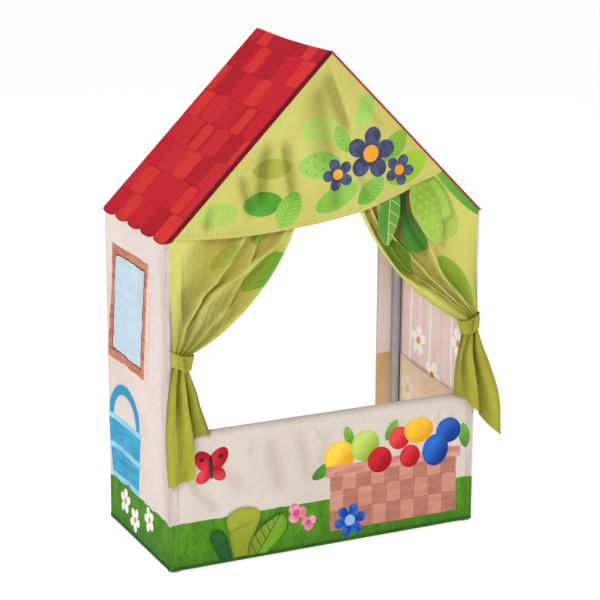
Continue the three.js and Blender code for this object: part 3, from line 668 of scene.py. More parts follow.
pedimentPrint = {
    "leaves": [
        (-0.129, 0.651, 3, 0.074, 0.043, "5aa636", "4b962e", "bare"),
        (-0.081, 0.636, 58, 0.070, 0.044, "96c454", "7fb644", "veined"),
        (-0.022, 0.710, 1, 0.082, 0.048, "9cc85e", "8cbe52", "dotted"),
        (-0.020, 0.773, 176, 0.080, 0.046, "b8cd6c", "accb60", "bare"),
        (-0.111, 0.711, 2, 0.076, 0.036, "a2a844", "aab04c", "bare"),
        (-0.212, 0.640, 4, 0.074, 0.040, "adca60", "a2c256", "bare"),
        (0.066, 0.801, 68, 0.060, 0.034, "a2ce64", "92c456", "bare"),
        (0.150, 0.690, 30, 0.088, 0.052, "8cb42e", "9cc03c", "bare"),
        (0.126, 0.732, 52, 0.066, 0.038, "72aa34", "84b640", "veined"),
        (0.012, 0.650, 26, 0.090, 0.042, "80b444", "92c052", "bare"),
        (0.080, 0.656, 40, 0.066, 0.036, "6eac3c", "8ec058", "veined"),
        (0.022, 0.752, 118, 0.052, 0.028, "86ba4c", "9ac65c", "veined"),
    ],
    "flowers": [
        (0.078, 0.722, 12, 0.096, 5, "383e58", "4c5474", "f0a02c"),
        (0.014, 0.690, 40, 0.060, 5, "3c4462", "545e80", "f4b03c"),
        (0.136, 0.688, 66, 0.058, 5, "3c4462", "545e80", "f0922c"),
    ],
}


def pedimentColour(point):
    colour = mottled(point, "bdb960", "c7c56e", 5.0)
    colour = printLeaves(point, colour, pedimentPrint["leaves"])
    return printFlowers(point, colour, pedimentPrint["flowers"])


planter = {
    "middle": 0.138,
    "width": 0.262,
    "low": 0.026,
    "high": 0.142,
    "columns": 9,
    "rows": 3,
    "rounds": [
        (0.026, 0.168, 0, 0.062, 0.060, "e0a018", "f6d348"),
        (0.078, 0.182, 0, 0.058, 0.060, "8cb038", "c4d868"),
        (0.148, 0.186, 0, 0.044, 0.044, "c01c28", "e84848"),
        (0.188, 0.196, 0, 0.060, 0.050, "e49a1c", "f6c838"),
        (0.250, 0.186, 0, 0.052, 0.050, "123a8c", "2c66c0"),
    ],
    "nearRounds": [
        (0.108, 0.150, 0, 0.050, 0.050, "9a101c", "cc2430"),
        (0.170, 0.148, 0, 0.042, 0.044, "a8121e", "d63038"),
        (0.224, 0.152, 0, 0.056, 0.062, "0e3a90", "2a6cc8"),
    ],
    "leaves": [
        (-0.006, 0.146, 30, 0.052, 0.024, "3f7d24", "64a53a", "veined"),
        (0.092, 0.140, 140, 0.050, 0.022, "4a8a28", "74b240", "veined"),
        (0.132, 0.204, 60, 0.044, 0.022, "5a982e", "86bc4c", "veined"),
        (0.215, 0.140, 25, 0.050, 0.022, "3f7d24", "64a53a", "veined"),
        (0.284, 0.172, 100, 0.050, 0.024, "4a8a28", "74b240", "veined"),
        (0.044, 0.206, 110, 0.040, 0.020, "5a982e", "86bc4c", "veined"),
    ],
}


def cornerPuckerShade(point, away):  # painted shade: darker cross creases drawn up by the seam at a corner
    near = 1.0 - soft(away, 0.004, 0.016)
    drawn = soft(cloudy(stretch(point, 60, 26), 1.0, 2.0, 0.5), 0.15, 0.85)
    return near * drawn


def frontColour(point):
    colour = mottled(point, "cdc3b7", "d5ccc1")
    x, _, _ = split(point)
    # painted shade in the puckers by the corner seams
    puckers = cornerPuckerShade(point, 0.3007 - abs(x))
    colour = blend(puckers * 0.34, colour, "8d7f76")
    colour = printGrass(point, colour, 0.09, 0.007)
    colour = printLeaves(point, colour, planter["leaves"])
    colour = printRounds(point, colour, planter["rounds"])
    middle, width, low, high = (planter[key] for key in ("middle", "width", "low", "high"))
    box = place(
        "bar", Point=point, X=middle, Y=(low + high) / 2, Length=width, Width=high - low, Wobble=0.004,
    )
    cell = (width / planter["columns"], (high - low) / planter["rows"])
    check = place("check", Point=point, X=middle - width / 2, Y=low, Width=cell[0], Height=cell[1])
    streaks = soft(cloudy(stretch(point, 20, 90), 1.0, 3.0), 0.35, 0.65)
    strips = blend(check["Parity"], blend(streaks, "a96c5c", "b67a69"), blend(streaks, "c48672", "d0957f"))
    strips = blend(check["Chance"] * 0.3, strips, "b87c6b")
    strips = blend(check["Edge"] * 0.5, strips, "925c4d")
    colour = blend(box["Mask"], colour, strips)
    colour = printBars(point, colour, [(middle, high, 0.5, width + 0.016, 0.021, "c08070", "d39a8a")])
    colour = printBars(
        point, colour, [(middle, high - 0.001, 0.5, width * 0.94, 0.0012, "9a6252", "a66e5e")], 0.006,
    )
    colour = printRounds(point, colour, planter["nearRounds"])
    flowers = [
        (0.048, 0.042, 10, 0.066, 6, "103c96", "2a66c4", "8fb4ea"),
        (-0.060, 0.074, 0, 0.040, 3, "d9648a", "f0a0b8", "c94c78"),
        (-0.036, 0.052, 30, 0.032, 3, "d9648a", "f0a0b8", "c94c78"),
    ]
    colour = printFlowers(point, colour, flowers)
    wings = [
        (-0.238, 0.198, 130, 0.050, 0.032, "b3121e", "dc2c34"),
        (-0.212, 0.200, 58, 0.050, 0.032, "a81020", "d42a34"),
        (-0.240, 0.172, 40, 0.034, 0.024, "c41a28", "e6484a"),
        (-0.212, 0.173, 140, 0.034, 0.024, "b81624", "de3c40"),
        (-0.226, 0.186, 92, 0.044, 0.009, "262022", "4a3e40"),
        (-0.244, 0.203, 0, 0.009, 0.009, "301a1c", "44282a"),
        (-0.207, 0.205, 0, 0.009, 0.009, "301a1c", "44282a"),
    ]
    colour = printRounds(point, colour, wings)
    seam = abs(abs(x) - 0.2895)
    line = 1.0 - soft(seam, 0.0004, 0.0014)
    return blend(line * 0.32, colour, "4c4a42")


window = {
    "middle": (0.197, 0.431),
    "lean": 0.127,
    "outer": (0.172, 0.220),
    "inner": (0.138, 0.180),
    "frame": ("b4674e", "cd8a70"),
    "glass": ("bcd2df", "c6dae6"),
}


def windowOn(point, colour):
    x, y, _ = split(point)
    middleX, middleY = window["middle"]
    leaned = x + (y - middleY) * window["lean"]
    slanted = combine(leaned, y)
    shadow = (
        middleX - window["outer"][0] / 2, middleY - 0.008, 90, window["outer"][1] * 0.93, 0.044, "e3c4b6",
        "ead0c4",
    )
    colour = printBars(slanted, colour, [shadow])
    colour = printBars(slanted, colour, [(middleX, middleY, 0, *window["outer"], *window["frame"])], 0.01)
    line = (middleX, middleY, 0, window["inner"][0] + 0.007, window["inner"][1] + 0.007, "7e4632", "8f533c")
    colour = printBars(slanted, colour, [line], 0.014)
    return printBars(slanted, colour, [(middleX, middleY, 0, *window["inner"], *window["glass"])], 0.014)


bucket = {
    "middle": (0.222, 0.142), "size": (0.140, 0.142), "flare": 1.8, "blue": ("3498c0", "46acd0"),
    "pale": ("8cc8de", "a4d4e6"),
}


def leftWallColour(point):
    colour = mottled(point, "dccfc8", "e5d9d2")
    fromCorner, _, _ = split(point)
    # painted shade: the wall darkens within about 55 mm of its front corner, and more in the puckers by the
    # corner seam
    colour = blend(soft(fromCorner, 0.055, 0.012) * 0.4, colour, "c0aea9")
    colour = blend(cornerPuckerShade(point, fromCorner) * 0.5, colour, "8d7c78")
    x, z = bucket["middle"]
    width, height = bucket["size"]
    handle = place("round", Point=point, X=x, Y=z + height * 0.5, Length=width * 1.06, Width=height * 0.96)
    hole = place("round", Point=point, X=x, Y=z + height * 0.48, Length=width * 0.8, Width=height * 0.72)
    arch = handle["Mask"] * (1.0 - hole["Mask"])
    colour = blend(arch, colour, bucket["blue"][0])
    across, up, _ = split(point)
    flare = 1.0 + (up - z) * bucket["flare"]
    across = (across - x) / flare + x
    narrowed = combine(across, up)
    colour = printBars(narrowed, colour, [(x, z, 0, width, height, *bucket["blue"])], 0.002)
    rings = [
        (x, z + height * share, 0, width + 0.006, 0.011, *bucket["pale"]) for share in (-0.34, 0.06, 0.46)
    ]
    colour = printBars(narrowed, colour, rings, 0.002)
    colour = windowOn(point, colour)
    colour = printGrass(point, colour, 0.088, 0.018)
    return printDaisies(point, colour, [(0.226, 0.057), (0.175, 0.038), (0.107, 0.062)])


def rightWallColour(point):
    colour = mottled(point, "ded2cd", "e7dcd7")
    colour = windowOn(point, colour)
    colour = printGrass(point, colour, 0.088, 0.018)
    return printDaisies(point, colour, [(0.066, 0.058), (0.121, 0.04), (0.206, 0.064)])


wallpaper = {
    "lines": (0.022, 0.086, 0.168, 0.245),
    "daisies": [(0.213, 0.295), (0.156, 0.241), (0.060, 0.330), (0.128, 0.402), (0.262, 0.450)],
}


def insideColour(point):  # the room's wallpaper: pink with white lines and daisies
    colour = blend(soft(cloudy(stretch(point, 60, 3), 1.0, 3.0), 0.3, 0.7), "e8ccc4", "f2dad4")
    for x in wallpaper["lines"]:
        colour = printBars(point, colour, [(x, 0.3, 90, 0.7, 0.0065, "f4eeea", "faf6f3")], 0.0015)
    return printDaisies(point, colour, wallpaper["daisies"], 0.06, 5, 0.3)


def flapColour(point):
    colour = mottled(point, "f0e3da", "f7ece5", 5.0)
    x, y, _ = split(point)
    edge = 1.0 - soft(x, 0.013, 0.016) + soft(x, 0.0425, 0.0435) * 0.6
    colour = blend(edge, colour, "d9b9b2")
    # painted shade: below 0.25 m the off-white flap is painted tan, as it looks in shade
    low = 1.0 - soft(y, 0.249, 0.251)
    return blend(low, colour, blend(soft(cloudy(point, 9.0), 0.35, 0.65), "dfb88e", "e9c69f"))


def pocketShadeColour(point):
    # painted shade: the off-white pocket cloth is painted tan, as it looks in shade, with faint daisies of
    # the print
    colour = mottled(point, "e2c7a6", "ebd5b6", 7.0)
    faint = printDaisies(point, colour, [(0.039, 0.165), (0.15, 0.12)], 0.06, 5, 0.3)
    return blend(0.35, colour, faint)


dyes = {
    "roof": clothMaterial("roofPrint", roofColour, creaseDepth=0.0014, valley="5a0812"),
    "roofLining": clothMaterial("roofLining", plain("d8c4bd", "e4d3cc")),
    # painted light: the binding cloth as a shaded copy on the left gable and a lit copy on the right
    "leftBinding": clothMaterial("bindingShaded", plain("5e0814", "74101e", 20.0), creaseDepth=0.0006),
    "rightBinding": clothMaterial("bindingLit", plain("a01824", "b4202c", 20.0), creaseDepth=0.0006),
    # the tints on the pediment, front and walls multiply the colour in folds, as painted shade
    "pediment": clothMaterial("pedimentPrint", pedimentColour, creaseDepth=0.0022, shadeTint="9a9064"),
    "pedimentLining": clothMaterial("pedimentLining", plain("c9cc86", "d4d796")),
    "front": clothMaterial("frontPrint", frontColour, creaseDepth=0.0024, shadeTint="c8beb4"),
    "lining": clothMaterial("creamLining", plain("e2d9d0", "ebe3db")),
    "leftWall": clothMaterial("leftWallPrint", leftWallColour, creaseDepth=0.0026, shadeTint="c4bab6"),
    "rightWall": clothMaterial("rightWallPrint", rightWallColour, creaseDepth=0.0026, shadeTint="c4bab6"),
    "inside": clothMaterial("wallpaperPrint", insideColour, creaseDepth=0.0024),
    "flap": clothMaterial("flapPrint", flapColour),
    "hem": clothMaterial("hemGreen", plain("2a561b", "38681f", 24.0), creaseDepth=0.0006),
    "pocket": clothMaterial("pocketShaded", pocketShadeColour),
}
print("cloth finishes ready")

# Mesh helpers


def plainMesh(name, vertices, faces, flat, outward=False):
    mesh = bpy.data.meshes.new(name)
    mesh.from_pydata(vertices, [], faces)
    layer = mesh.uv_layers.new(name="flat")
    layer.data.foreach_set("uv", [value for loop in mesh.loops for value in flat[loop.vertex_index]])
    if outward:
        work = bmesh.new()
        work.from_mesh(mesh)
        bmesh.ops.recalc_face_normals(work, faces=work.faces)
        work.to_mesh(mesh)
        work.free()
    mesh.shade_smooth()
    return mesh


def ringsMesh(name, count, vertices, flat):  # rings of points, skinned and closed at both ends
    last = len(vertices) - count
    faces = [tuple(range(count)), tuple(range(last, last + count))]
    for low in range(0, last, count):
        for k in range(count):
            a, b = low + k, low + (k + 1) % count
            faces.append((a, b, b + count, a + count))
    return plainMesh(name, vertices, faces, flat, outward=True)


def shellMesh(name, columns, rows, vertices, flat, shades, flip, closed=False, outward=False):
    # a front grid and a back grid, joined round their edges
    stride = columns if closed else columns + 1
    shift, last = stride * (rows + 1), stride * rows
    faces = []

    def quad(a, b, c, d):
        faces.append((a, d, c, b) if flip else (a, b, c, d))

    for low in range(0, last, stride):
        for i in range(columns):
            a, b = low + i, low + (i + 1) % stride
            quad(a, b, b + stride, a + stride)
            quad(shift + a, shift + a + stride, shift + b + stride, shift + b)
    for i in range(columns):
        b = (i + 1) % stride
        quad(i, shift + i, shift + b, b)
        quad(last + i, last + b, shift + last + b, shift + last + i)
    for a in () if closed else range(0, last, stride):
        b = a + columns
        quad(a, a + stride, shift + a + stride, shift + a)
        quad(b, shift + b, shift + b + stride, b + stride)
    mesh = plainMesh(name, vertices, faces, flat, outward)
    mesh.attributes.new("shade", "FLOAT", "POINT").data.foreach_set("value", shades)
    return mesh


def foldDepth(x, z, folds):  # each fold runs from one point to another, fading at both ends
    total = 0.0
    for x0, z0, x1, z1, *widths, depth in folds:  # one width, or one to its left and one to its right
        dx, dz = x1 - x0, z1 - z0
        length = math.hypot(dx, dz)
        along = ((x - x0) * dx + (z - z0) * dz) / length / length
        away = ((x - x0) * dz - (z - z0) * dx) / length
        ends = smooth(along / 0.3 + 0.15) * smooth((1 - along) / 0.3 + 0.15)
        total += depth * ends * math.exp(-((away / widths[0 if away > 0 else -1]) ** 2))
    return total


def gridMesh(name, columns, rows, placeAt, flatAt, keep=None, wrap=False):
    vertices, flat, faces, shades = [], [], [], []
    for j in range(rows + 1):
        for i in range(columns + 1):
            x, y, z, *shade = placeAt(i / columns, j / rows)
            vertices.append(toRow(x, y, z))
            flat.append(flatAt(i / columns, j / rows))
            shades.append(shade[0] if shade else 0.0)
    stride = columns + 1
    for j in range(rows):
        for i in range(columns):
            a = j * stride + i
            if keep is None or keep((i + 0.5) / columns, (j + 0.5) / rows):
                faces.append((a, a + stride, a + stride + 1, a + 1))
    mesh = plainMesh(name, vertices, faces, flat)
    if max(shades) > 0:
        mesh.attributes.new("shade", "FLOAT", "POINT").data.foreach_set("value", shades)
    if keep or wrap:
        work = bmesh.new()
        work.from_mesh(mesh)
        if wrap:
            bmesh.ops.remove_doubles(work, verts=work.verts, dist=0.000005)
        loose = [v for v in work.verts if not v.link_faces]
        bmesh.ops.delete(work, geom=loose, context="VERTS")
        work.to_mesh(mesh)
        work.free()
    mesh.shade_smooth()
    return mesh


def flatArea(mesh):  # area of the cut cloth, from its own flat coordinates
    layer = mesh.uv_layers["flat"].data
    total = 0.0
    for face in mesh.polygons:
        corners = [layer[i].uv for i in face.loop_indices]
        total += abs(sum(a.cross(b) for a, b in zip(corners, corners[1:] + corners[:1]))) / 2
    return total


def addPiece(mesh, *materials):
    piece = bpy.data.objects.new(mesh.name, mesh)
    bpy.context.scene.collection.objects.link(piece)
    for material in materials:
        mesh.materials.append(material)
    return piece


def bake(piece):
    graph = bpy.context.evaluated_depsgraph_get()
    mesh = bpy.data.meshes.new_from_object(
        piece.evaluated_get(graph), preserve_all_data_layers=True, depsgraph=graph,
    )
    piece.modifiers.clear()
    piece.data = mesh
    mesh.name = piece.name
    return piece


def thicken(piece, thickness=None, lined=False):  # gives a sheet its back, behind the side that shows
    solid = piece.modifiers.new("cloth", "SOLIDIFY")
    solid.thickness = thickness or house["cloth"] * 0.9
    solid.offset = -1
    if lined:
        solid.material_offset = 1
    return bake(piece)


def settle(piece, slot, *nodes, body="house"):
    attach(piece, body)
    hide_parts(*nodes)
    return piece


def makeSheet(name, grid, materials, slot, nodes, flat, held, restsOn, withPieces=(), area=None, **options):
    mesh = gridMesh(name, *grid, **options)
    cut = flatArea(mesh) if area is None else area
    piece = thicken(addPiece(mesh, *materials), lined=len(materials) > 1)
    settle(piece, slot, *nodes)
    share = cut / (flat[0] * flat[1])
    cut if share < 0.98 else None
    print(name, "flat area", round(cut, 4))
    return piece


# Roof

roof = {
    "front": -0.0018,
    "overhang": 0.008,
    "scallops": 5,
    "scallopDepth": 0.0105,
    "ridgeRound": 0.003,
    "ridgeSag": 0.003,
    "dip": 0.0035,
}


def roofEnd(u):
    f = (u * roof["scallops"]) % 1.0
    cusp = 1 - abs(2 * f - 1) ** 2.4
    return slopeLength + roof["overhang"] - roof["scallopDepth"] * (1 - math.sqrt(max(cusp, 0)))


def roofPlace(u, v):
    side = -1 if v < 0.5 else 1
    share = abs(2 * v - 1)
    s = share * roofEnd(u)
    y = mix(roof["front"], house["depth"], u)
    between = math.sin(math.pi * u)
    down = math.hypot(s, roof["ridgeRound"])
    sag = roof["ridgeSag"] * between * math.exp(-((s / 0.16) ** 2))
    dip = roof["dip"] * between * math.sin(math.pi * min(s / slopeLength, 1)) ** 0.8
    dip += 0.0008 * between * ripple(y * 14 + side, s * 9)
    flare = smooth((s - slopeLength + 0.012) / 0.02) * (0.0012 + 0.0012 * ripple(y * 40, side * 3.0))
    off = flare - dip
    x = side * (down * math.cos(slope) + off * math.sin(slope))
    z = house["apex"] - down * math.sin(slope) + off * math.cos(slope) - sag
    rim = smooth((share * roofEnd(u) - roofEnd(u) + 0.0042) / 0.0036)
    return (x if s > 0 else 0.0), y, z, rim


def roofFlat(u, v):
    y = mix(0, house["depth"] - roof["front"], u)
    s = abs(2 * v - 1) * roofEnd(u)
    return y, s


def makeRoof():
    mesh = gridMesh("roofCloth", 150, 240, roofPlace, roofFlat)
    piece = addPiece(mesh, dyes["roof"], dyes["roofLining"])
    for face in mesh.polygons:  # the two slopes share the ridge line, so each keeps its own tiles
        if face.center.x > house["x"]:
            for i in face.loop_indices:
                corner = mesh.uv_layers["flat"].data[i].uv
                if corner.x < 0.4:
                    corner.x += roofPrint["repeat"]
    thicken(piece, lined=True)
    settle(piece, "roof_red", "left_roof_slope", "right_roof_slope")


makeRoof()

piping = {"left": 0.0056, "right": 0.0036, "depth": 0.0011, "back": 0.0021, "steps": 110, "round": 12}


def makeGableBinding(side, name):
    vertices, flat = [], []
    around = piping["round"]
    for i in range(piping["steps"] + 1):
        share = i / piping["steps"]
        for k in range(around):
            turn = 2 * math.pi * k / around
            deep = piping[name] * (0.5 - 0.5 * math.cos(turn))
            out = piping["back"] + piping["depth"] * (0.5 - 0.5 * math.sin(turn))
            out += 0.0002 * ripple(share * 40, side)
            s = mix(deep * math.tan(slope) + 0.0004, slopeLength - deep, share)
            x = s * math.cos(slope) - deep * math.sin(slope)
            z = house["apex"] - s * math.sin(slope) - deep * math.cos(slope)
            vertices.append(toRow(side * x, -out, z))
            flat.append((s, deep))
    mesh = ringsMesh(f"{name}GableBinding", around, vertices, flat)
    settle(addPiece(mesh, dyes[f"{name}Binding"]), "binding_red", f"{name}_gable_binding")


for side, word in ((-1, "left"), (1, "right")):
    makeGableBinding(side, word)
print("roof and its bindings ready")

# Walls

wall = {
    "radius": 0.004,
    "lip": 0.008,
    "dip": 0.0045,
    "clear": 0.006,
    "fade": 0.022,
    "folds": [
        (0.035, 0.56, 0.030, 0.30, 0.010, 0.0032),
        (0.050, 0.40, 0.026, 0.10, 0.012, 0.0030),
        (0.24, 0.29, 0.10, 0.22, 0.016, 0.0016),
        (0.09, 0.56, 0.16, 0.44, 0.016, 0.0014),
        (0.27, 0.20, 0.20, 0.06, 0.014, 0.0018),
    ],
}
wallLength = math.pi * wall["radius"] + house["depth"] - 2 * wall["radius"]


def wallSection(w):  # along the wall's plan from its front edge: inset from the corner post's side, y
    r = wall["radius"]
    arc = math.pi * r / 2
    if w < 0:
        return r - w, house["cloth"] * smooth(-w / 0.003)
    if w < arc:
        turn = w / r
        return r - r * math.sin(turn), r - r * math.cos(turn)
    if w > wallLength - arc:
        turn = (w - wallLength + arc) / r
        return r - r * math.cos(turn), house["depth"] - r + r * math.sin(turn)
    return 0.0, r + w - arc


def wallHollow(side, y, z):  # how far the cloth dips in between the tubes, and the part of it that is folds
    inFromPosts = smooth((min(y, house["depth"] - y) - wall["clear"]) / wall["fade"])
    inFromTubes = smooth((min(z - 0.012, 0.586 - z) - 0.010) / 0.05)
    wave = 0.5 + 0.5 * ripple(y * 9 + 3 * side, z * 3.2)
    crease = max(0.0, ripple(y * 40, z * 6 + 7)) * (0.3 + 0.7 * math.exp(-(((y - 0.03) / 0.03) ** 2)))
    folds = foldDepth(y, z, wall["folds"])
    hollow = wall["dip"] * (0.30 + 0.55 * wave + 0.35 * crease) + folds
    return min(hollow * inFromPosts, 0.0024 if y < 0.022 or y > 0.28 else 0.009) * inFromTubes, folds


def wallPlace(side):
    def placeAt(u, v):
        w = mix(-wall["lip"], wallLength, u if side > 0 else 1 - u)
        inset, y = wallSection(w)
        z = mix(house["wallTop"], house["hemLift"], v)
        hollow, folds = wallHollow(side, y, z)
        # painted shade: the folds' depth goes to the "shade" attribute that darkens the colour in them
        return side * (half - inset - hollow), y, z, min(folds / 0.0034, 1.0) * 0.6

    return placeAt


def wallFlat(side):
    def flatAt(u, v):
        w = mix(-wall["lip"], wallLength, u if side > 0 else 1 - u)
        return w - 0.0023, mix(house["wallTop"], house["hemLift"], v)

    return flatAt


binding = {"height": 0.006, "thickness": 0.0008}


def bandMesh(name, points, outward, height, thickness, base):  # a flat folded strip along a path
    vertices, flat = [], []
    section = [(0, 0), (0.8, 0.02), (1.0, 0.14), (1.0, 0.86), (0.8, 0.98), (0, 1)]
    run = 0.0
    for i, (x, y) in enumerate(points):
        if i:
            run += math.dist(points[i - 1], points[i])
        ox, oy = outward[i]
        for out, up in section:
            depth = thickness * out
            z = base + height * up + 0.0003 * ripple(run * 30, up)
            vertices.append(toRow(x + ox * depth, y + oy * depth, z))
            flat.append((run, height * up))
    return ringsMesh(name, len(section), vertices, flat)


def makeWall(side, word):
    steps = 60
    ys = [mix(wall["radius"], house["depth"] - wall["radius"], i / steps) for i in range(steps + 1)]
    line = [(side * (half + house["gap"]), y) for y in ys]
    hemMesh = bandMesh(
        f"{word}HemBinding", line, [(side, 0)] * len(line), binding["height"], binding["thickness"],
        house["hemLift"],
    )
    hem = settle(addPiece(hemMesh, dyes["hem"]), "hem_green", f"{word}_hem_binding")
    top = house["wallTop"] - house["hemLift"]
    grid = (170, 200, wallPlace(side), wallFlat(side))
    materials = (dyes[f"{word}Wall"], dyes["inside"])
    rests = [f"front_{word}_upright", f"back_{word}_upright", f"{word}_eave_tube", f"{word}_bottom_tube"]
    cut = (wallLength + wall["lip"], top)
    makeSheet(
        f"{word}WallCloth", grid, materials, "wall_cream", [f"{word}_wall"], cut, "stretched", rests, [hem],
    )

    def flapPlace(u, v):
        across = mix(0.0043, 0.050, u if side > 0 else 1 - u)
        z = mix(house["wallTop"], house["hemLift"], v)
        loose = smooth((across - 0.022) / 0.02)
        y = house["depth"] - 0.0016 * loose * (0.5 + 0.5 * ripple(z * 12, side * 5))
        return side * (half - across), y, z

    def flapFlat(u, v):
        return mix(0, 0.046, u), mix(house["wallTop"], house["hemLift"], v)

    flap = (24, 200, flapPlace, flapFlat)
    upright = [f"back_{word}_upright"]
    makeSheet(
        f"{word}BackFlap", flap, (dyes["flap"],), "wall_cream", [f"{word}_back_flap"], (0.046, top), "hung",
        upright,
    )


for side, word in ((-1, "left"), (1, "right")):
    makeWall(side, word)

pocket = {
    "front": 0.02565, "back": 0.28585, "base": 0.0232, "topFront": 0.230, "topBack": 0.250, "bulge": 0.007,
}


def pocketPlace(u, v):
    y = mix(pocket["back"], pocket["front"], u)
    top = mix(pocket["topBack"], pocket["topFront"], u)
    z = mix(top, pocket["base"], v)
    loose = math.sin(math.pi * u) * smooth(1.25 - v) * (0.6 + 0.4 * ripple(y * 12, z * 4))
    insideWall = half - wallHollow(1, y, z)[0] - 2 * house["cloth"]
    return insideWall - house["gap"] - pocket["bulge"] * max(loose, 0) * (1 - v) ** 0.5, y, z


def pocketFlat(u, v):
    return mix(0, pocket["back"] - pocket["front"], u), mix(
        mix(pocket["topBack"], pocket["topFront"], u) - pocket["base"], 0, v,
    )


flatSize = (pocket["back"] - pocket["front"], pocket["topBack"] - pocket["base"])
makeSheet(
    "innerPocket", (70, 70, pocketPlace, pocketFlat), (dyes["pocket"],), "pocket_tan",
    ["right_inner_pocket"], flatSize, "hung", ["rightWallCloth"],
)
print("walls, flaps and pocket ready")

# Stage front

stage = {
    "radius": 0.01165, "turnDown": 0.026, "side": 0.3007, "turnHalf": 0.2835, "sag": 0.0020,
    "pucker": 0.0008,
}
stage["folds"] = [
    (-0.278, 0.175, -0.205, 0.095, 0.011, 0.0034),
    (-0.252, 0.235, -0.150, 0.120, 0.016, 0.0026),
    (-0.115, 0.240, -0.085, 0.110, 0.014, 0.0030),
    (-0.055, 0.235, -0.030, 0.130, 0.012, 0.0024),
    (0.010, 0.240, -0.010, 0.150, 0.012, 0.0020),
    (-0.190, 0.090, -0.060, 0.045, 0.014, 0.0018),
    (0.265, 0.235, 0.240, 0.120, 0.012, 0.0026),
    (0.110, 0.238, 0.190, 0.190, 0.012, 0.0016),
    (0.206, 0.240, 0.186, 0.196, 0.006, 0.0022),
    (0.236, 0.240, 0.228, 0.200, 0.006, 0.0018),
    (-0.020, 0.240, -0.012, 0.205, 0.005, 0.0016),
    (-0.140, 0.240, -0.150, 0.196, 0.007, 0.0020),
    (0.020, 0.060, 0.220, 0.030, 0.014, 0.0014),
]
stage["tubeZ"] = house["sill"] - stage["radius"]
stage["flat"] = stage["tubeZ"] - house["hemLift"]
stage["length"] = stage["flat"] + math.pi * stage["radius"] + stage["turnDown"]


def stagePlace(u, v):
    x = mix(-stage["side"], stage["side"], u)
    w = (1 - v) * stage["length"]
    r = stage["radius"]
    inner = smooth((0.2890 - abs(x)) / 0.006)
    rows = 0.5 + 0.5 * math.sin(x * 2 * math.pi / 0.0105 + 2.2 * ripple(x * 30, 1.7))
    strength = (0.55 + 0.45 * ripple(x * 16, 4.0)) * inner
    pucker = stage["pucker"] * rows * strength
    sag = stage["sag"] * smooth((0.284 - abs(x)) / 0.08) * (0.75 + 0.25 * ripple(x * 11, 9.0))
    if w < stage["flat"]:
        z = house["hemLift"] + w
        fromTop = stage["flat"] - w
        wave = smooth((z - 0.03) / 0.05) * smooth((0.27 - abs(x)) / 0.03)
        wave *= 0.5 + 0.5 * ripple(x * 7, z * 4.5)
        inside = smooth((z - 0.026) / 0.04) * smooth(fromTop / 0.03) * smooth((0.276 - abs(x)) / 0.02)
        fold = foldDepth(x, z, stage["folds"]) * inside
        y = 0.0022 * wave * smooth(fromTop / 0.05) + pucker * math.exp(-fromTop / 0.016) + fold
        # painted shade: the fold's depth goes to the "shade" attribute that darkens the colour in the folds
        return x, y, z - sag * math.exp(-fromTop / 0.03), min(fold / 0.006, 1.0)
    turn = (w - stage["flat"]) / r
    if turn < math.pi:
        y = (r - (r - pucker) * math.cos(turn)) * inner
        return x, y, stage["tubeZ"] + (r - pucker * 0.6) * math.sin(turn) - sag
    down = w - stage["flat"] - math.pi * r
    return x, 2 * r - 0.6 * pucker, stage["tubeZ"] - down - sag


def stageFlat(u, v):
    return mix(-stage["side"], stage["side"], u), house["hemLift"] + (1 - v) * stage["length"]


def stageKeep(u, v):
    x = mix(-stage["side"], stage["side"], u)
    return abs(x) < stage["turnHalf"] or (1 - v) * stage["length"] < stage["flat"] + 0.0058


def makeStageFront():
    steps = 120
    line = [(mix(-stage["side"], stage["side"], i / steps), -house["gap"]) for i in range(steps + 1)]
    hemMesh = bandMesh(
        "frontHemBinding", line, [(0, -1)] * len(line), binding["height"], binding["thickness"],
        house["hemLift"],
    )
    hem = settle(addPiece(hemMesh, dyes["hem"]), "hem_green", "front_hem_binding")
    grid = (360, 150, stagePlace, stageFlat)
    size = (2 * stage["side"], stage["length"])
    makeSheet(
        "stageFront", grid, (dyes["front"], dyes["lining"]), "wall_cream", ["front_panel"], size,
        "stretched", ["sill_tube"], [hem], keep=stageKeep,
    )


makeStageFront()

# Pediment

hemShares = [
    (-0.984, 0.004), (-0.86, 0.004), (-0.59, -0.006), (-0.21, 0.01), (0.125, 0.052), (0.31, 0.094),
    (0.55, 0.179), (0.725, 0.25),
]
hemCurve = curveThrough(hemShares)


def hemHeight(x):
    return house["eave"] + (house["apex"] - house["eave"]) * hemCurve(x / half)


def underRoof(x):
    return house["apex"] - abs(x) * math.tan(slope) - (house["cloth"] + house["gap"]) / math.cos(slope)


pediment = {
    "left": -0.972 * half,
    "right": 0.725 * half,
    "pucker": 0.0014,
    "hem": 0.009,
    "puff": 0.0046,
    "folds": [  # each is a channel pressed back into the puffed cloth
        (-0.012, 0.892, 0.040, 0.758, 0.0150, 0.0045, 0.0052),
        (-0.030, 0.872, 0.004, 0.690, 0.0260, 0.0140, 0.0034),
        (-0.118, 0.772, -0.138, 0.640, 0.0130, 0.0120, 0.0048),
        (-0.090, 0.766, -0.072, 0.650, 0.0090, 0.0130, 0.0044),
        (-0.174, 0.712, -0.150, 0.626, 0.0090, 0.0110, 0.0036),
        (-0.225, 0.672, -0.234, 0.610, 0.0080, 0.0090, 0.0036),
        (0.056, 0.836, 0.108, 0.770, 0.0080, 0.0050, 0.0024),
        (0.016, 0.700, 0.010, 0.625, 0.0120, 0.0120, 0.0026),
        (0.060, 0.690, 0.075, 0.640, 0.0100, 0.0100, 0.0018),
    ],
}


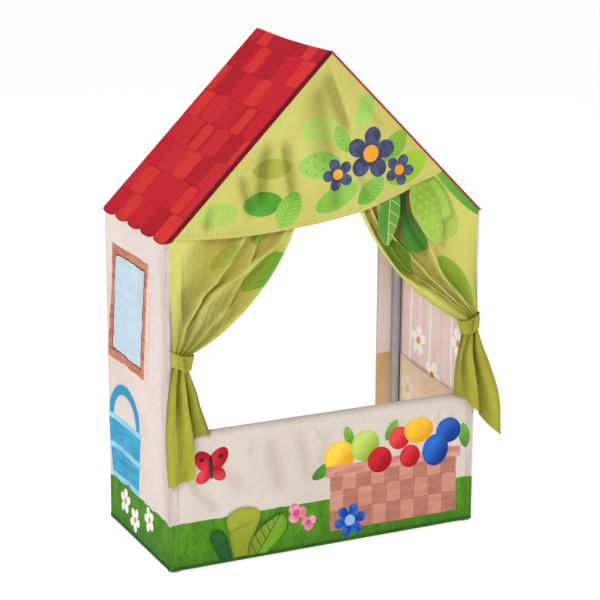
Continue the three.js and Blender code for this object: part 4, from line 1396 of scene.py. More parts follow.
def pedimentPlace(u, v):
    x = mix(pediment["left"], pediment["right"], u)
    low = hemHeight(x)
    top = max(underRoof(x), low + house["cloth"])
    z = mix(top, low, v)
    fromHem = z - low
    freeOfRoof = smooth((top - z - 0.006) / 0.045)
    freeOfLeaves = smooth((0.125 - x) / 0.09)
    puff = pediment["puff"] * (0.85 + 0.35 * ripple(x * 9, z * 5)) * freeOfLeaves
    channel = min(foldDepth(x + 0.003 * ripple(z * 9, x * 4), z, pediment["folds"]), puff)
    fold = max(puff - channel, 0.0) * freeOfRoof
    gathers = 0.5 + 0.5 * math.sin(x * 2 * math.pi / 0.0100 + 4.5 * ripple(x * 22, z * 20))
    gathers *= (0.55 + 0.45 * ripple(x * 34, 6.0)) * smooth((-0.10 - x) / 0.12)
    pucker = pediment["pucker"] * gathers * math.exp(-fromHem / 0.022) * smooth((top - low) / 0.03)
    rolled = 0.0004 * (1 - smooth((fromHem - pediment["hem"]) / 0.002))
    # painted shade: the depth of each fold channel, and the gathers by the hem, go to the "shade" attribute
    # that darkens the colour there
    shade = channel * freeOfRoof / 0.0042 + 0.45 * gathers * math.exp(-fromHem / 0.018)
    return x, -0.0015 - fold - pucker - rolled, z, min(shade, 1.0)


def pedimentFlat(u, v):
    x = mix(pediment["left"], pediment["right"], u)
    low = hemHeight(x)
    return x, mix(max(underRoof(x), low + house["cloth"]), low, v)


size = (pediment["right"] - pediment["left"], house["apex"] - house["eave"])
makeSheet(
    "pedimentCloth", (420, 120, pedimentPlace, pedimentFlat), (dyes["pediment"], dyes["pedimentLining"]),
    "pediment_green", ["pediment"], size, "hung", ["front_left_rafter", "front_right_rafter"],
)
print("stage front and pediment ready")

# Curtains: each is one sheet from the rafter through the tie-back to the hem

curtain = {
    "rail": (0.3007, 0.04575),
    "neck": (0.2987, 0.2637),
    "waist": 0.392,
    "waistBack": -0.0021,
    "waistDepth": 0.017,
    "forwardTop": 0.510,
    "deep": 0.019,
    "tail": 0.229,
    "socket": 0.00955,
    "flat": (0.29, 0.62),
    "columns": 220,
    "drapeRows": 150,
    "waistRows": 12,
    "tailRows": 90,
}
tie = {
    "height": 0.026, "length": 0.112, "thickness": 0.0012, "clear": 0.0006, "corner": 0.008, "tab": 0.024,
    "point": 0.008, "tabHalf": 0.011, "taper": 0.007,
}

# each ridge: rows of (share of the way down, share of the width, reach outwards, reach inwards), height
curtainForms = {
    "left": {
        "sign": -1,
        "handles": ((0.009, 0.489), (0.332, 0.142)),
        "tilt": 0.2,
        "outer": [(0, 0), (0.2, 0.045), (0.55, 0.075), (1, 0.055)],
        "inner": [(0, 0), (0.3, 0.065), (0.58, 0.145), (1, 0.145)],
        "drop": [(0, 0.93), (0.5, 0.88), (0.58, 0.85), (0.66, 0.58), (1, 0.55)],
        "ridges": [
            (
                [
                    (0, 0.1, 0.3, 0.22), (0.37, 0.06, 0.2, 0.15), (0.58, 0.03, 0.1, 0.09),
                    (1, 0.02, 0.1, 0.07),
                ],
                0.95,
            ),
            (
                [
                    (0, 0.75, 0.04, 0.05), (0.36, 0.56, 0.035, 0.045), (0.46, 0.49, 0.035, 0.04),
                    (0.53, 0.42, 0.03, 0.035), (0.62, 0.31, 0.035, 0.03), (0.82, 0.19, 0.04, 0.035),
                    (1, 0.17, 0.04, 0.04),
                ],
                1.0,
            ),
            (
                [
                    (0, 1.1, 0.03, 0.2), (0.47, 0.93, 0.03, 0.2), (0.54, 0.69, 0.035, 0.24),
                    (0.62, 0.44, 0.035, 0.20), (0.70, 0.37, 0.03, 0.11), (0.93, 0.34, 0.03, 0.05),
                    (1, 0.35, 0.03, 0.05),
                ],
                0.72,
            ),
            (
                [
                    (0, 0.7, 0.02, 0.02), (0.70, 0.70, 0.02, 0.02), (0.76, 0.66, 0.05, 0.10),
                    (0.85, 0.58, 0.05, 0.08), (1, 0.56, 0.05, 0.06),
                ],
                0.6,
            ),
            (
                [
                    (0, 0.99, 0.05, 0.1), (0.6, 0.985, 0.05, 0.1), (0.75, 0.97, 0.07, 0.1),
                    (0.86, 0.90, 0.10, 0.1), (1, 0.86, 0.12, 0.1),
                ],
                0.95,
            ),
        ],
        "tailFolds": [
            (0, -9), (0.06, -16), (0.15, -19.5), (0.22, -17), (0.29, -6), (0.35, -7), (0.42, -18),
            (0.5, -19.5), (0.58, -17), (0.64, -5), (0.72, -11), (0.86, -16), (0.95, -10), (1, -5),
        ],
        "tailEnds": [
            (0, -12), (0.08, -18), (0.2, -15.5), (0.33, -13), (0.46, -19), (0.58, -18.5), (0.64, -6),
            (0.74, -9), (0.9, -12), (1, -6),
        ],
    },
    "right": {
        "sign": 1,
        "handles": ((-0.094, 0.527), (0.497, 0.109)),
        "tilt": 0.35,
        "outer": [(0, 0), (0.15, 0.05), (0.33, 0.125), (0.6, 0.215), (1, 0.245)],
        "inner": [(0, 0), (0.18, 0.025), (0.4, 0.04), (1, 0.035)],
        "drop": [(0, 0.93), (0.25, 0.83), (0.45, 0.72), (0.6, 0.65), (0.75, 0.57), (1, 0.52)],
        "ridges": [
            (
                [(0, 0.1, 0.3, 0.4), (0.4, 0.12, 0.3, 0.30), (0.7, 0.10, 0.2, 0.22), (1, 0.10, 0.2, 0.16)],
                0.88,
            ),
            (
                [
                    (0, 0.46, 0.14, 0.03), (0.43, 0.45, 0.12, 0.035), (0.65, 0.43, 0.08, 0.03),
                    (0.80, 0.37, 0.06, 0.03), (1, 0.33, 0.05, 0.03),
                ],
                0.95,
            ),
            (
                [
                    (0, 0.9, 0.04, 0.04), (0.47, 0.78, 0.035, 0.03), (0.56, 0.69, 0.03, 0.03),
                    (0.64, 0.63, 0.035, 0.03), (0.77, 0.56, 0.035, 0.025), (0.95, 0.45, 0.03, 0.02),
                    (1, 0.44, 0.03, 0.02),
                ],
                1.0,
            ),
            (
                [
                    (0, 0.95, 0.03, 0.02), (0.56, 0.86, 0.035, 0.02), (0.62, 0.85, 0.03, 0.02),
                    (0.68, 0.79, 0.03, 0.018), (0.74, 0.69, 0.025, 0.018), (0.82, 0.61, 0.02, 0.018),
                    (1, 0.51, 0.02, 0.018),
                ],
                0.9,
            ),
            (
                [
                    (0, 0.97, 0.05, 0.1), (0.50, 0.97, 0.04, 0.1), (0.66, 0.97, 0.04, 0.1),
                    (0.71, 0.92, 0.07, 0.1), (0.76, 0.84, 0.12, 0.2), (0.90, 0.79, 0.15, 0.3),
                    (1, 0.78, 0.16, 0.3),
                ],
                1.0,
            ),
        ],
        "tailFolds": [
            (0, -11), (0.08, -16), (0.2, -19.5), (0.29, -17), (0.36, -5), (0.43, -6), (0.49, -19.5),
            (0.57, -17), (0.66, -14), (0.75, -6), (0.84, -12), (0.94, -15), (1, -10),
        ],
        "tailEnds": [
            (0, -15), (0.1, -18), (0.22, -15), (0.34, -8), (0.43, -7), (0.5, -19.5), (0.6, -17),
            (0.72, -12), (0.86, -13), (0.95, -11), (1, -8),
        ],
    },
}


def ridgesAt(form, t):  # where the ridges run at one height of the drape
    found = []
    for rows, height in form["ridges"]:
        after = next((i for i, row in enumerate(rows) if row[0] >= t), len(rows) - 1)
        before, row = rows[max(after - 1, 0)], rows[after]
        share = smooth((t - before[0]) / max(row[0] - before[0], 0.001))
        found.append((*(mix(a, b, share) for a, b in zip(before[1:], row[1:])), height))
    return found


def valley(ridges, u, fine):  # 0 on a fold's ridge, 1 between two folds
    total = 0.0
    for middle, outwards, inwards, height in ridges:
        away = (u - middle) / (inwards if u > middle else outwards)
        total = max(total, height * math.exp(-(abs(away) ** 1.5)))
    narrow = 0.5 + 0.5 * math.cos(2 * math.pi * u * 11 + 1.3)
    return min(max(1 - total - 0.13 * fine * narrow, 0.0), 1.0)


def tieRise(form, u):
    return form["tilt"] * (curtain["neck"][0] - curtain["neck"][1]) * (0.5 - u)


def waistFront(form, u):
    edge = abs(2 * u - 1)
    crown = 1 - edge**3 / 2
    return curtain["waistBack"] - curtain["waistDepth"] * crown * (
        1 - 0.30 * valley(ridgesAt(form, 1), u, 1.0)
    )


def drapePoint(form, u, t, ridges=None):
    waist = curtain["waist"]
    railX = mix(*curtain["rail"], u)
    neckTop = waist + tie["height"] / 2 + house["gap"] + tieRise(form, u)
    neckX = mix(*curtain["neck"], u)
    span = house["apex"] - waist
    seam, neck = curtain["rail"][0], curtain["neck"][0]
    outer = (mix(seam, neck, 1 / 3), mix(seam, neck, 2 / 3))
    railZ = underRoof(railX) - house["gap"]
    cornerZ = underRoof(seam) - house["gap"]
    handleX = [mix(outer[i], share * half, u) for i, (share, _) in enumerate(form["handles"])]
    handleZ = [
        mix(mix(cornerZ, neckTop, (i + 1) / 3), waist + share * span, u)
        for i, (_, share) in enumerate(form["handles"])
    ]
    x = bezier([railX, *handleX, neckX], t)
    z = bezier([railZ, *handleZ, neckTop], t)
    freeOfRail = smooth((underRoof(x) - z - 0.030) / 0.060)
    freeOfPost = smooth((seam - 2 * curtain["socket"] - x) / curtain["socket"])
    reach = curtain["forwardTop"] - neckTop
    forward = smooth((neckTop + reach - z) / reach)
    deep = valley(ridges or ridgesAt(form, t), u, smooth((t - 0.55) / 0.3))
    wander = 0.0012 * ripple(u * 13, t * 4, 2.0 * form["sign"]) + 0.0006 * ripple(u * 30, t * 7)
    sway = (curtain["deep"] * deep + 0.0010) * freeOfRail * freeOfPost
    sway += max(wander, -0.0006) * freeOfRail * freeOfPost
    curl = 0.0012 * smooth((u - 0.955) / 0.04) * freeOfRail
    front = mix(max(sway - curl, 0.0), waistFront(form, u), forward)
    front += 0.006 * deep * forward * (1 - forward)
    gathered = smooth((neckTop + reach / 3 - z) / (reach / 3))
    back = mix(front + house["cloth"] * 0.9, curtain["waistBack"], gathered)
    # painted shade: how far the cloth lies between two ridges goes to the "shade" attribute that darkens
    # the colour there
    return x, front, z, back, deep * freeOfRail


def tailPoint(form, u, t):
    share = t * curveThrough(form["drop"])(u)
    outer = curtain["neck"][0] + curtain["tail"] * curveThrough(form["outer"])(share)
    inner = curtain["neck"][1] - curtain["tail"] * curveThrough(form["inner"])(share)
    inner += tie["taper"] * (1 - smooth(4 * share))
    z = curtain["waist"] - tie["height"] / 2 - house["gap"] - curtain["tail"] * share
    z += tieRise(form, u) * (1 - share)
    free = smooth(3.2 * share)
    hanging = mix(
        curveThrough(form["tailFolds"])(u), curveThrough(form["tailEnds"])(u), smooth(1.5 * share),
    ) / 1000
    # painted shade: deeper tail folds, nearer the tie, get more painted shade
    deep = smooth((hanging + 0.0188) / 0.0105) * (0.4 + 0.6 * (1 - share) ** 1.3)
    hanging += 0.0014 * ripple(u * 9, share * 5, 3.0 * form["sign"]) * free
    front = mix(waistFront(form, u), hanging, free)
    edge = (1 - t) * curtain["tail"] * 0.8
    front -= 0.0005 * (1 - smooth((edge - 0.0095) / 0.0015))
    front = min(front, -0.0030 * free - 0.0005)
    back = mix(curtain["waistBack"], front + house["cloth"] * 0.9, smooth(5 * share))
    return mix(outer, inner, u), front, z, back, deep


def curtainRow(form, row):
    widths = [i / curtain["columns"] for i in range(curtain["columns"] + 1)]
    if row <= curtain["drapeRows"]:
        t = row / curtain["drapeRows"]
        ridges = ridgesAt(form, t)
        return [drapePoint(form, u, t, ridges) for u in widths]
    row -= curtain["drapeRows"]
    if row > curtain["waistRows"]:
        return [tailPoint(form, u, (row - curtain["waistRows"]) / curtain["tailRows"]) for u in widths]
    share = row / curtain["waistRows"]
    spots = []
    for u in widths:
        high, low = drapePoint(form, u, 1), tailPoint(form, u, 0)
        x = mix(high[0], low[0], share)
        spots.append(
            (
                x, waistFront(form, u), mix(high[2], low[2], share), curtain["waistBack"],
                max(high[4], low[4]),
            )
        )
    return spots


def makeCurtain(word):
    form = curtainForms[word]
    columns = curtain["columns"]
    rows = curtain["drapeRows"] + curtain["waistRows"] + curtain["tailRows"]
    spots = [curtainRow(form, j) for j in range(rows + 1)]
    vertices, flat, shades = [], [], []
    for layer in (1, 3):
        runs = [0.0] * (columns + 1)
        for j, line in enumerate(spots):
            for i, spot in enumerate(line):
                if j:
                    runs[i] += math.dist((spot[0], spot[2]), (spots[j - 1][i][0], spots[j - 1][i][2]))
                vertices.append(toRow(form["sign"] * spot[0], spot[layer], spot[2]))
                flat.append((i / columns * curtain["flat"][0], runs[i]))
                shades.append(spot[4])
    # u runs from the post inwards, so to -x on the right side
    mesh = shellMesh(f"{word}CurtainCloth", columns, rows, vertices, flat, shades, form["sign"] < 0)
    piece = addPiece(mesh, dyes[f"{word}Curtain"])
    settle(piece, "curtain_green", f"{word}_curtain")


curtainLeaves = {
    "left": [
        (0.264, 0.322, 48, 0.135, 0.058, "4f9c28", "6fb43a", "bare"),
        (0.131, 0.160, 30, 0.070, 0.030, "9cb844", "aabf4e", "bare"),
        (0.224, 0.194, 42, 0.090, 0.050, "86b43c", "98c048", "bare"),
    ],
    "right": [
        (0.080, 0.205, 54, 0.118, 0.070, "8cae36", "7ea62e", "bare"),
        (0.078, 0.082, 50, 0.092, 0.056, "a6c456", "b2cc60", "bare"),
        (0.050, 0.004, 2, 0.130, 0.036, "569c34", "6cae40", "bare"),
        (0.236, 0.304, 64, 0.130, 0.048, "4c9a28", "66ac38", "bare"),
    ],
}


def curtainColour(word):
    def colourAt(point):
        colour = mottled(point, "c8c464", "d4d078")
        colour = printLeaves(point, colour, curtainLeaves[word])
        # painted shade: below the tie the same cloth is painted a darker olive
        tail = mottled(point, "9c992f", "adab3f", 7.0)
        return blend(soft(belowNeck(point), -0.1, 0.02), colour, tail)

    return colourAt


def belowNeck(point):  # how far down the cloth a point lies from where the tie holds it
    across, down, _ = split(point)
    return down - (0.19 + across * 1.24)


def valleyShade(point):  # painted shade for the curtains' folds: old gold high up, dark olive by the tie and below it
    return blend(soft(belowNeck(point), -0.17, -0.03), "96822a", "363404")


for word in ("left", "right"):
    name = f"{word}CurtainPrint"
    dyes[f"{word}Curtain"] = clothMaterial(
        name, curtainColour(word), creaseSize=1.5, creaseDepth=0.0021, valley=valleyShade,
    )
    makeCurtain(word)
# painted shade: the tie's dark colour goes where its "shade" attribute marks the middle and the creases
dyes["tie"] = clothMaterial(
    "tieGreen", plain("a09e36", "b2b048", 14.0), creaseSize=3.0, creaseDepth=0.0014, valley="3c3a08",
)
print("curtains ready")

# Tie-backs


def tieOutline(margin):
    inner, outer = curtain["neck"][1] - margin, curtain["neck"][0] + margin
    back = curtain["waistBack"] + margin
    front = curtain["waistBack"] - curtain["waistDepth"] - margin
    r = tie["corner"] + margin - tie["clear"]
    line = [(mix(outer, inner, i / 24), back) for i in range(24)]
    line += [(inner, mix(back, front + r, i / 8)) for i in range(8)]
    for i in range(12):
        turn = math.pi + i / 12 * math.pi / 2
        line.append((inner + r + r * math.cos(turn), front + r + r * math.sin(turn)))
    line += [(mix(inner + r, outer - r, i / 14), front) for i in range(14)]
    for i in range(12):
        turn = 1.5 * math.pi + i / 12 * math.pi / 2
        line.append((outer - r + r * math.cos(turn), front + r + r * math.sin(turn)))
    return line + [(outer, mix(front + r, back, i / 8)) for i in range(8)]


def makeTieBack(word):
    form = curtainForms[word]
    sign = form["sign"]
    rows = 16
    inside, outside = tieOutline(tie["clear"]), tieOutline(tie["clear"] + tie["thickness"])
    count = len(inside)
    middle = sum(curtain["neck"]) / 2
    vertices, flat, shades = [], [], []
    for line, out in ((outside, 1), (inside, 0)):
        for j in range(rows + 1):
            v = j / rows
            for i, (x, y) in enumerate(line):
                onFront = smooth((-y - 0.008) / 0.008)
                slanted = (i / count * 9 + sign * v * 1.6) * 2 * math.pi
                crease = 0.0009 * math.sin(slanted + ripple(i * 0.13, v * 2.2)) * onFront
                roll = 0.0016 * math.sin(math.pi * v) * onFront
                edge = 0.0006 * ripple(i * 0.2, 3.0 + v) * onFront
                z = curtain["waist"] + tie["height"] * (0.5 - v) + form["tilt"] * (x - middle) + edge
                across = (curtain["neck"][0] - x) / (curtain["neck"][0] - curtain["neck"][1])
                ridge = math.exp(-(((across - 0.08) / 0.11) ** 2)) + math.exp(
                    -(((across - 0.90) / 0.10) ** 2)
                )
                relief = max(crease + roll, 0) * 0.4 + 0.0016 * ridge * onFront
                vertices.append(toRow(sign * (x + tie["taper"] * v * max(across, 0)), y - out * relief, z))
                flat.append((i / count * tie["length"], tie["height"] * (1 - v)))
                # painted shade: darker down the middle of the band's front and in its slanted creases
                shade = (1.1 - 0.5 * v) * math.exp(-(((across - 0.48) / 0.26) ** 2))
                shades.append(min(1.0, (shade + 0.3 * max(math.sin(slanted), 0)) * onFront))
    mesh = shellMesh(f"{word}TieBand", count, rows, vertices, flat, shades, sign > 0, closed=True)
    piece = settle(addPiece(mesh, dyes["tie"]), "curtain_green", f"{word}_tie_back")


def makeTab(word):
    form = curtainForms[word]
    sign = form["sign"]
    rootX = curtain["neck"][1] - tie["clear"] + tie["corner"]
    rootY = curtain["waistBack"] - curtain["waistDepth"] - house["gap"]
    rootY -= tie["clear"] + 1.5 * tie["thickness"]
    middle = sum(curtain["neck"]) / 2

    def edgeShare(u, v):
        return smooth(min(u, 1 - u, v, 1 - v) / 0.09)

    def tabPlace(u, v):
        across = mix(0, tie["tab"], u if sign > 0 else 1 - u)
        share = across / tie["tab"]
        low = -tie["tabHalf"] - tie["point"] * (1 - abs(2 * share - 1))
        x = rootX + across
        z = curtain["waist"] + mix(tie["tabHalf"], low, v) + form["tilt"] * (x - middle)
        groove = math.exp(-(((share - 0.5 + 0.12 * v) / 0.2) ** 2)) * smooth(v / 0.15)
        pleat = 0.5 + 0.5 * math.sin((share + 0.22 * v) * 2 * math.pi * 2.5 + 0.8)
        edge = edgeShare(u, v)
        y = rootY - tie["thickness"] * (0.5 + 0.2 * edge) - 0.0009 * (1 - groove) - 0.0004 * pleat * edge
        # painted shade: darker along the tab's groove and between its pleats
        return sign * x, y, z, min(1.0, (0.95 - 0.4 * v) * groove + 0.35 * (1 - pleat) * (1 - groove))

    def tabFlat(u, v):
        return tie["tab"] * u, 0.03 * (1 - v)

    mesh = gridMesh(f"{word}TieTab", 40, 40, tabPlace, tabFlat)
    piece = thicken(addPiece(mesh, dyes["tie"]), 0.0012)
    settle(piece, "curtain_green", f"{word}_tie_tab", body=f"{word}_tie_tab")


for word in ("left", "right"):
    makeTieBack(word)
    makeTab(word)
print("tie-backs and tabs ready")

# Leaves: padded, seamed near the edge, each with its own veins or quilting

roundLeaf = [(0, 0.42), (0.3, 0.5), (0.55, 0.46), (0.85, 0.24), (1, 0.06)]
strapLeaf = [(0, 0.13), (0.27, 0.14), (0.45, 0.27), (0.65, 0.46), (0.85, 0.5), (1, 0.24)]
quiltedLeaf = [(0, 0.28), (0.1, 0.4), (0.35, 0.5), (0.55, 0.43), (0.8, 0.32), (1, 0.08)]
bluntLeaf = [(0, 0.24), (0.25, 0.44), (0.65, 0.5), (0.9, 0.42), (1, 0.24)]
darkSewn = [(0, 0.36), (0.5, 0.48), (0.8, 0.46), (1, 0.24)]
pocketSewn = [(0, 0.21), (0.5, 0.38), (0.8, 0.5), (0.94, 0.36), (1, 0.1)]
veinedSewn = [(0, 0.30), (0.3, 0.47), (0.55, 0.5), (0.8, 0.36), (1, 0.07)]

looseLeaves = {
    "veined_leaf": {
        "length": 0.082, "width": 0.046, "layer": 0, "lift": 0, "root": (0.325, 0.452), "lean": -0.07,
        "bow": 0, "widths": roundLeaf, "style": "veined", "reach": 0.0035, "thread": "pale",
    },
    "strap_leaf": {
        "length": 0.116, "width": 0.040, "layer": 0, "lift": 0, "root": (0.462, 0.494), "lean": 0.34,
        "bow": -0.33, "widths": strapLeaf, "style": "grooved", "reach": 0.0040,
    },
    "blunt_leaf": {
        "length": 0.084, "width": 0.040, "layer": 0, "lift": 0, "root": (0.615, 0.68), "lean": 0.42,
        "bow": 0, "widths": bluntLeaf, "style": "smooth", "reach": 0.0022, "thread": "pale",
    },
    "quilted_leaf": {
        "length": 0.118, "width": 0.054, "layer": 1, "lift": 0.003, "root": (0.512, 0.615), "lean": 0.36,
        "bow": 0, "widths": quiltedLeaf, "style": "quilted", "reach": 0.0070, "thread": "pale",
    },
}
sewnLeaves = {
    "sewn_dark_leaf": {
        "length": 0.060, "width": 0.032, "layer": 0, "middle": -0.655, "lean": -0.3, "widths": darkSewn,
        "style": "smooth",
    },
    "sewn_pocket_leaf": {
        "length": 0.092, "width": 0.066, "layer": 0, "middle": -0.56, "lean": 0.08, "widths": pocketSewn,
        "style": "folded",
    },
    "sewn_veined_leaf": {
        "length": 0.082, "width": 0.060, "layer": 1, "middle": -0.455, "lean": 0.55, "widths": veinedSewn,
        "style": "stitched",
    },
}



veinLooks = {  # a midrib, with branches on one side of it
    "veined": {"spacing": 0.0185, "line": 0.0006, "vein": "b4cf80", "otherSide": "4c8a34"},
    "stitched": {"spacing": 0.0135, "line": 0.0007, "vein": "3c5a0c", "otherSide": "6ca428"},
}
# second colour for each leaf style: painted shade along the strap leaf's groove, under the pocket leaf's
# fold and round the padded edges; a dark outline on the sewn veined leaf; a lighter rim on the loose veined
# leaf; lighter raised dots and puckered edge on the quilted leaf, partly their own colour and partly
# painted highlight
reliefShadeAndMarks = {
    "veined": "8fc05a", "stitched": "3f5c0e", "grooved": "2c4c0e", "quilted": "cfe28c", "folded": "6c6c14",
    "smooth": "23401a",
}


def leafRelief(leaf, s, w, inside, puff):  # how far the front stands out there, and the strength of its second colour (painted shade for the groove, the fold and the padded edges)
    style = leaf["style"]
    if style == "quilted":
        gx, gy = leaf["width"] * w / 0.033 + 0.2, leaf["length"] * s / 0.0155
        gx += 0.5 * (math.floor(gy) % 2)
        away = math.hypot(gx % 1 - 0.5, gy % 1 - 0.5)
        dot = math.exp(-((away / 0.18) ** 2)) * puff
        edge = math.exp(-((inside / 0.0026) ** 2)) * (0.5 + 0.5 * math.sin(s * 100)) * smooth(-w * 3)
        return 0.0008 * dot + 0.0005 * edge, max(0.55 * dot, edge)
    if style == "grooved":
        groove = math.exp(-(((w - 0.25) / 0.3) ** 2)) * smooth(s * 2.2)
        return -0.0009 * groove, groove
    if style == "folded":
        fold = (s - 0.70 + 0.10 * w) / 0.05
        ridge = math.exp(-(fold**2)) * smooth((w + 0.9) / 0.8)
        return 0.0012 * ridge, 0.8 * math.exp(-((fold + 1.3) ** 2) * 1.6) * smooth((w + 0.9) / 0.8)
    if style == "stitched":
        return 0.0, math.exp(-((inside / 0.0012) ** 4)) * (0.25 + 0.75 * smooth(w * 8))
    if style == "veined":
        return 0.0, 0.6 * math.exp(-((inside / 0.0012) ** 4))
    return 0.0, 0.5 * (1 - puff)


def leafMaterial(name, low, high, style):
    def colourAt(point):
        _, y, _ = split(point)
        colour = blend(soft(y + cloudy(point, 20.0) * 0.02, 0.02, 0.1), low, high)
        if style in veinLooks:
            look = veinLooks[style]
            made = place(
                "leaf", Point=point, X=0.0, Y=0.045, Angle=90, Length=0.14, Width=0.16,
                Spacing=look["spacing"], Line=look["line"],
            )
            x, _, _ = split(point)
            branched = soft(x, -look["line"] * 2.4, -look["line"] * 1.8)
            plainSide = blend(0.8, colour, look["otherSide"])
            colour = blend(branched, plainSide, blend(made["Vein"] * 0.9, colour, look["vein"]))
        return colour

    return clothMaterial(name, colourAt, creaseSize=2.4, creaseDepth=0.0010, valley=reliefShadeAndMarks.get(style))


def leafShape(leaf, rootFrom, rootTo, tip):
    root = rootTo - rootFrom
    across = root.normalized()
    upwards = Vector((-across.y, across.x))
    middle = (rootFrom + rootTo) / 2
    toTip = tip - middle
    return middle, across, upwards, toTip.dot(across), toTip.dot(upwards), curveThrough(leaf["widths"])


def makeLeaf(name, leaf, body, shape, baseY, thickness, slotName, material):
    middle, across, upwards, tipAcross, tipUp, halfAt = shape
    rows, columns = 56, 36
    front, back, flat, shades = [], [], [], []
    reach = leaf.get("reach", 0.0)
    for j in range(rows + 1):
        s = j / rows
        rim = 1 - smooth((s - 0.90) / 0.10) * 0.55
        halfWidth = leaf["width"] * max(halfAt(s), 0.02)
        line = tipAcross * s + 4 * leaf["width"] * leaf.get("bow", 0) * s * (1 - s)
        for i in range(columns + 1):
            w = math.sin(math.pi * (i / columns - 0.5))
            spot = middle + across * (line + halfWidth * w) + upwards * (tipUp * s)
            inside = min((1 - abs(w)) * halfWidth, (1 - s) * abs(tipUp) * 0.9, s * abs(tipUp) + 0.001)
            seam = math.exp(-(((inside - 0.0032) / 0.0009) ** 2))
            puff = smooth(inside / 0.009)
            fullness = thickness * (0.20 + 0.36 * puff) - 0.0004 * seam * smooth(inside / 0.001)
            relief, shade = leafRelief(leaf, s, w, inside, puff)
            if leaf["style"] in veinLooks:
                rib = math.exp(-((halfWidth * w / 0.0012) ** 2))
                relief -= 0.0004 * rib * puff
            sway = reach * s**1.6 * (1 + 0.15 * w) + 0.0006 * ripple(
                w * 1.5, s * 4, leaf["width"] * 100,
            ) * s
            if leaf["style"] == "quilted":
                sway += 0.0007 * math.sin(s * 42) * smooth((abs(w) - 0.7) / 0.3) * s
            y = baseY - sway
            front.append(toRow(spot.x, y - fullness * rim - relief, spot.y))
            shades.append(shade)
            back.append(toRow(spot.x, y + min(fullness, thickness * 0.45) * rim, spot.y))
            flat.append((halfWidth * w, abs(tipUp) * s))
    sides = (front + back, flat + flat, shades + shades)
    mesh = shellMesh(name, columns, rows, *sides, flip=True, outward=True)
    piece = addPiece(mesh, material)
    settle(piece, slotName, leaf["node"], body=body)
    return piece


leafLooks = {
    "veined_leaf": ("veinedLeaf", "leaf_bright", "5a9438", "7cac48"),
    "strap_leaf": ("strapLeaf", "leaf_dark", "1e4018", "46802e"),
    "blunt_leaf": ("bluntLeaf", "leaf_light", "94b848", "aaca58"),
    "quilted_leaf": ("quiltedLeaf", "leaf_light", "84aa36", "9cbe48"),
    "sewn_dark_leaf": ("sewnDarkLeaf", "leaf_dark", "24582a", "2e6c34"),
    "sewn_pocket_leaf": ("sewnPocketLeaf", "leaf_olive", "8a942a", "9ca634"),
    "sewn_veined_leaf": ("sewnVeinedLeaf", "leaf_bright", "788f2a", "8aa034"),
}
padding = {"loose": 0.0020, "sewn": 0.0016, "rootGap": 0.0006}
leafSeams = []

for node, leaf in looseLeaves.items():
    leaf["node"] = node
    drop = padding["rootGap"] + padding["loose"] / 2 - leaf["lift"]
    rootFrom, rootTo = (Vector((share * half, hemHeight(share * half) - drop)) for share in leaf["root"])
    tip = (rootFrom + rootTo) / 2
    tip += leaf["length"] * Vector((leaf["lean"], -math.sqrt(1 - leaf["lean"] ** 2)))
    baseY = -(house["gap"] + padding["loose"] / 2) - leaf["layer"] * (padding["loose"] + house["gap"])
    title, slotName, low, high = leafLooks[node]
    material = leafMaterial(f"{title}Cloth", low, high, leaf["style"])
    shape = leafShape(leaf, rootFrom, rootTo, tip)
    makeLeaf(title, leaf, node, shape, baseY, padding["loose"], slotName, material)
    leafSeams.append((leaf, shape, baseY, padding["loose"]))

for node, leaf in sewnLeaves.items():
    leaf["node"] = node
    base = house["hemLift"] + binding["height"] + house["gap"] + padding["sewn"] / 2
    middle = leaf["middle"] * half
    rootHalf = leaf["width"] * leaf["widths"][0][1]
    rise = leaf["length"] * math.sqrt(1 - leaf["lean"] ** 2)
    tip = Vector((middle + leaf["length"] * leaf["lean"], base + rise))
    shape = leafShape(leaf, Vector((middle + rootHalf, base)), Vector((middle - rootHalf, base)), tip)
    baseY = -(house["gap"] + padding["sewn"] / 2) - leaf["layer"] * (padding["sewn"] + house["gap"])
    title, slotName, low, high = leafLooks[node]
    material = leafMaterial(f"{title}Cloth", low, high, leaf["style"])
    makeLeaf(title, leaf, "house", shape, baseY, padding["sewn"], slotName, material)
    leafSeams.append((leaf, shape, baseY, padding["sewn"]))
print("leaves ready")

# Frame: grey tubes along their own axes, moulded connectors between them


def grainedMaterial(name, low, high, roughness, metallic=0.0, grain=900.0):
    material, inputs = newMaterial(name, Metallic=metallic, Specular_IOR_Level=0.4)
    where = Wire(material.node_tree.nodes.new("ShaderNodeTexCoord").outputs["Object"])
    feed(inputs["Base Color"], blend(soft(cloudy(where, 14.0, 4.0), 0.3, 0.7), low, high))
    feed(inputs["Roughness"], roughness - 0.06 + cloudy(where, 60.0, 3.0) * 0.12)
    feed(inputs["Normal"], bump(cloudy(where, grain), 0.00004, 0.6))
    return material


finishes = {
    "tube": grainedMaterial("powderGrey", "9da1a5", "acb0b4", 0.40, 0.1),
    "moulded": grainedMaterial("mouldedGrey", "a9abad", "b8babb", 0.52, grain=1400.0),
}


def newNodeTree(name, sizes):  # a Geometry Nodes tree: lines, some sizes and a material go in
    tree = bpy.data.node_groups.new(name, "GeometryNodeTree")
    tree.interface.new_socket("Geometry", in_out="INPUT", socket_type="NodeSocketGeometry")
    for label, value in sizes.items():
        kind = "NodeSocketInt" if isinstance(value, int) else "NodeSocketFloat"
        tree.interface.new_socket(label, in_out="INPUT", socket_type=kind).default_value = value
    tree.interface.new_socket("Material", in_out="INPUT", socket_type="NodeSocketMaterial")
    tree.interface.new_socket("Geometry", in_out="OUTPUT", socket_type="NodeSocketGeometry")
    given = {socket.name: Wire(socket) for socket in tree.nodes.new("NodeGroupInput").outputs}
    return given, tree.nodes.new("NodeGroupOutput").inputs


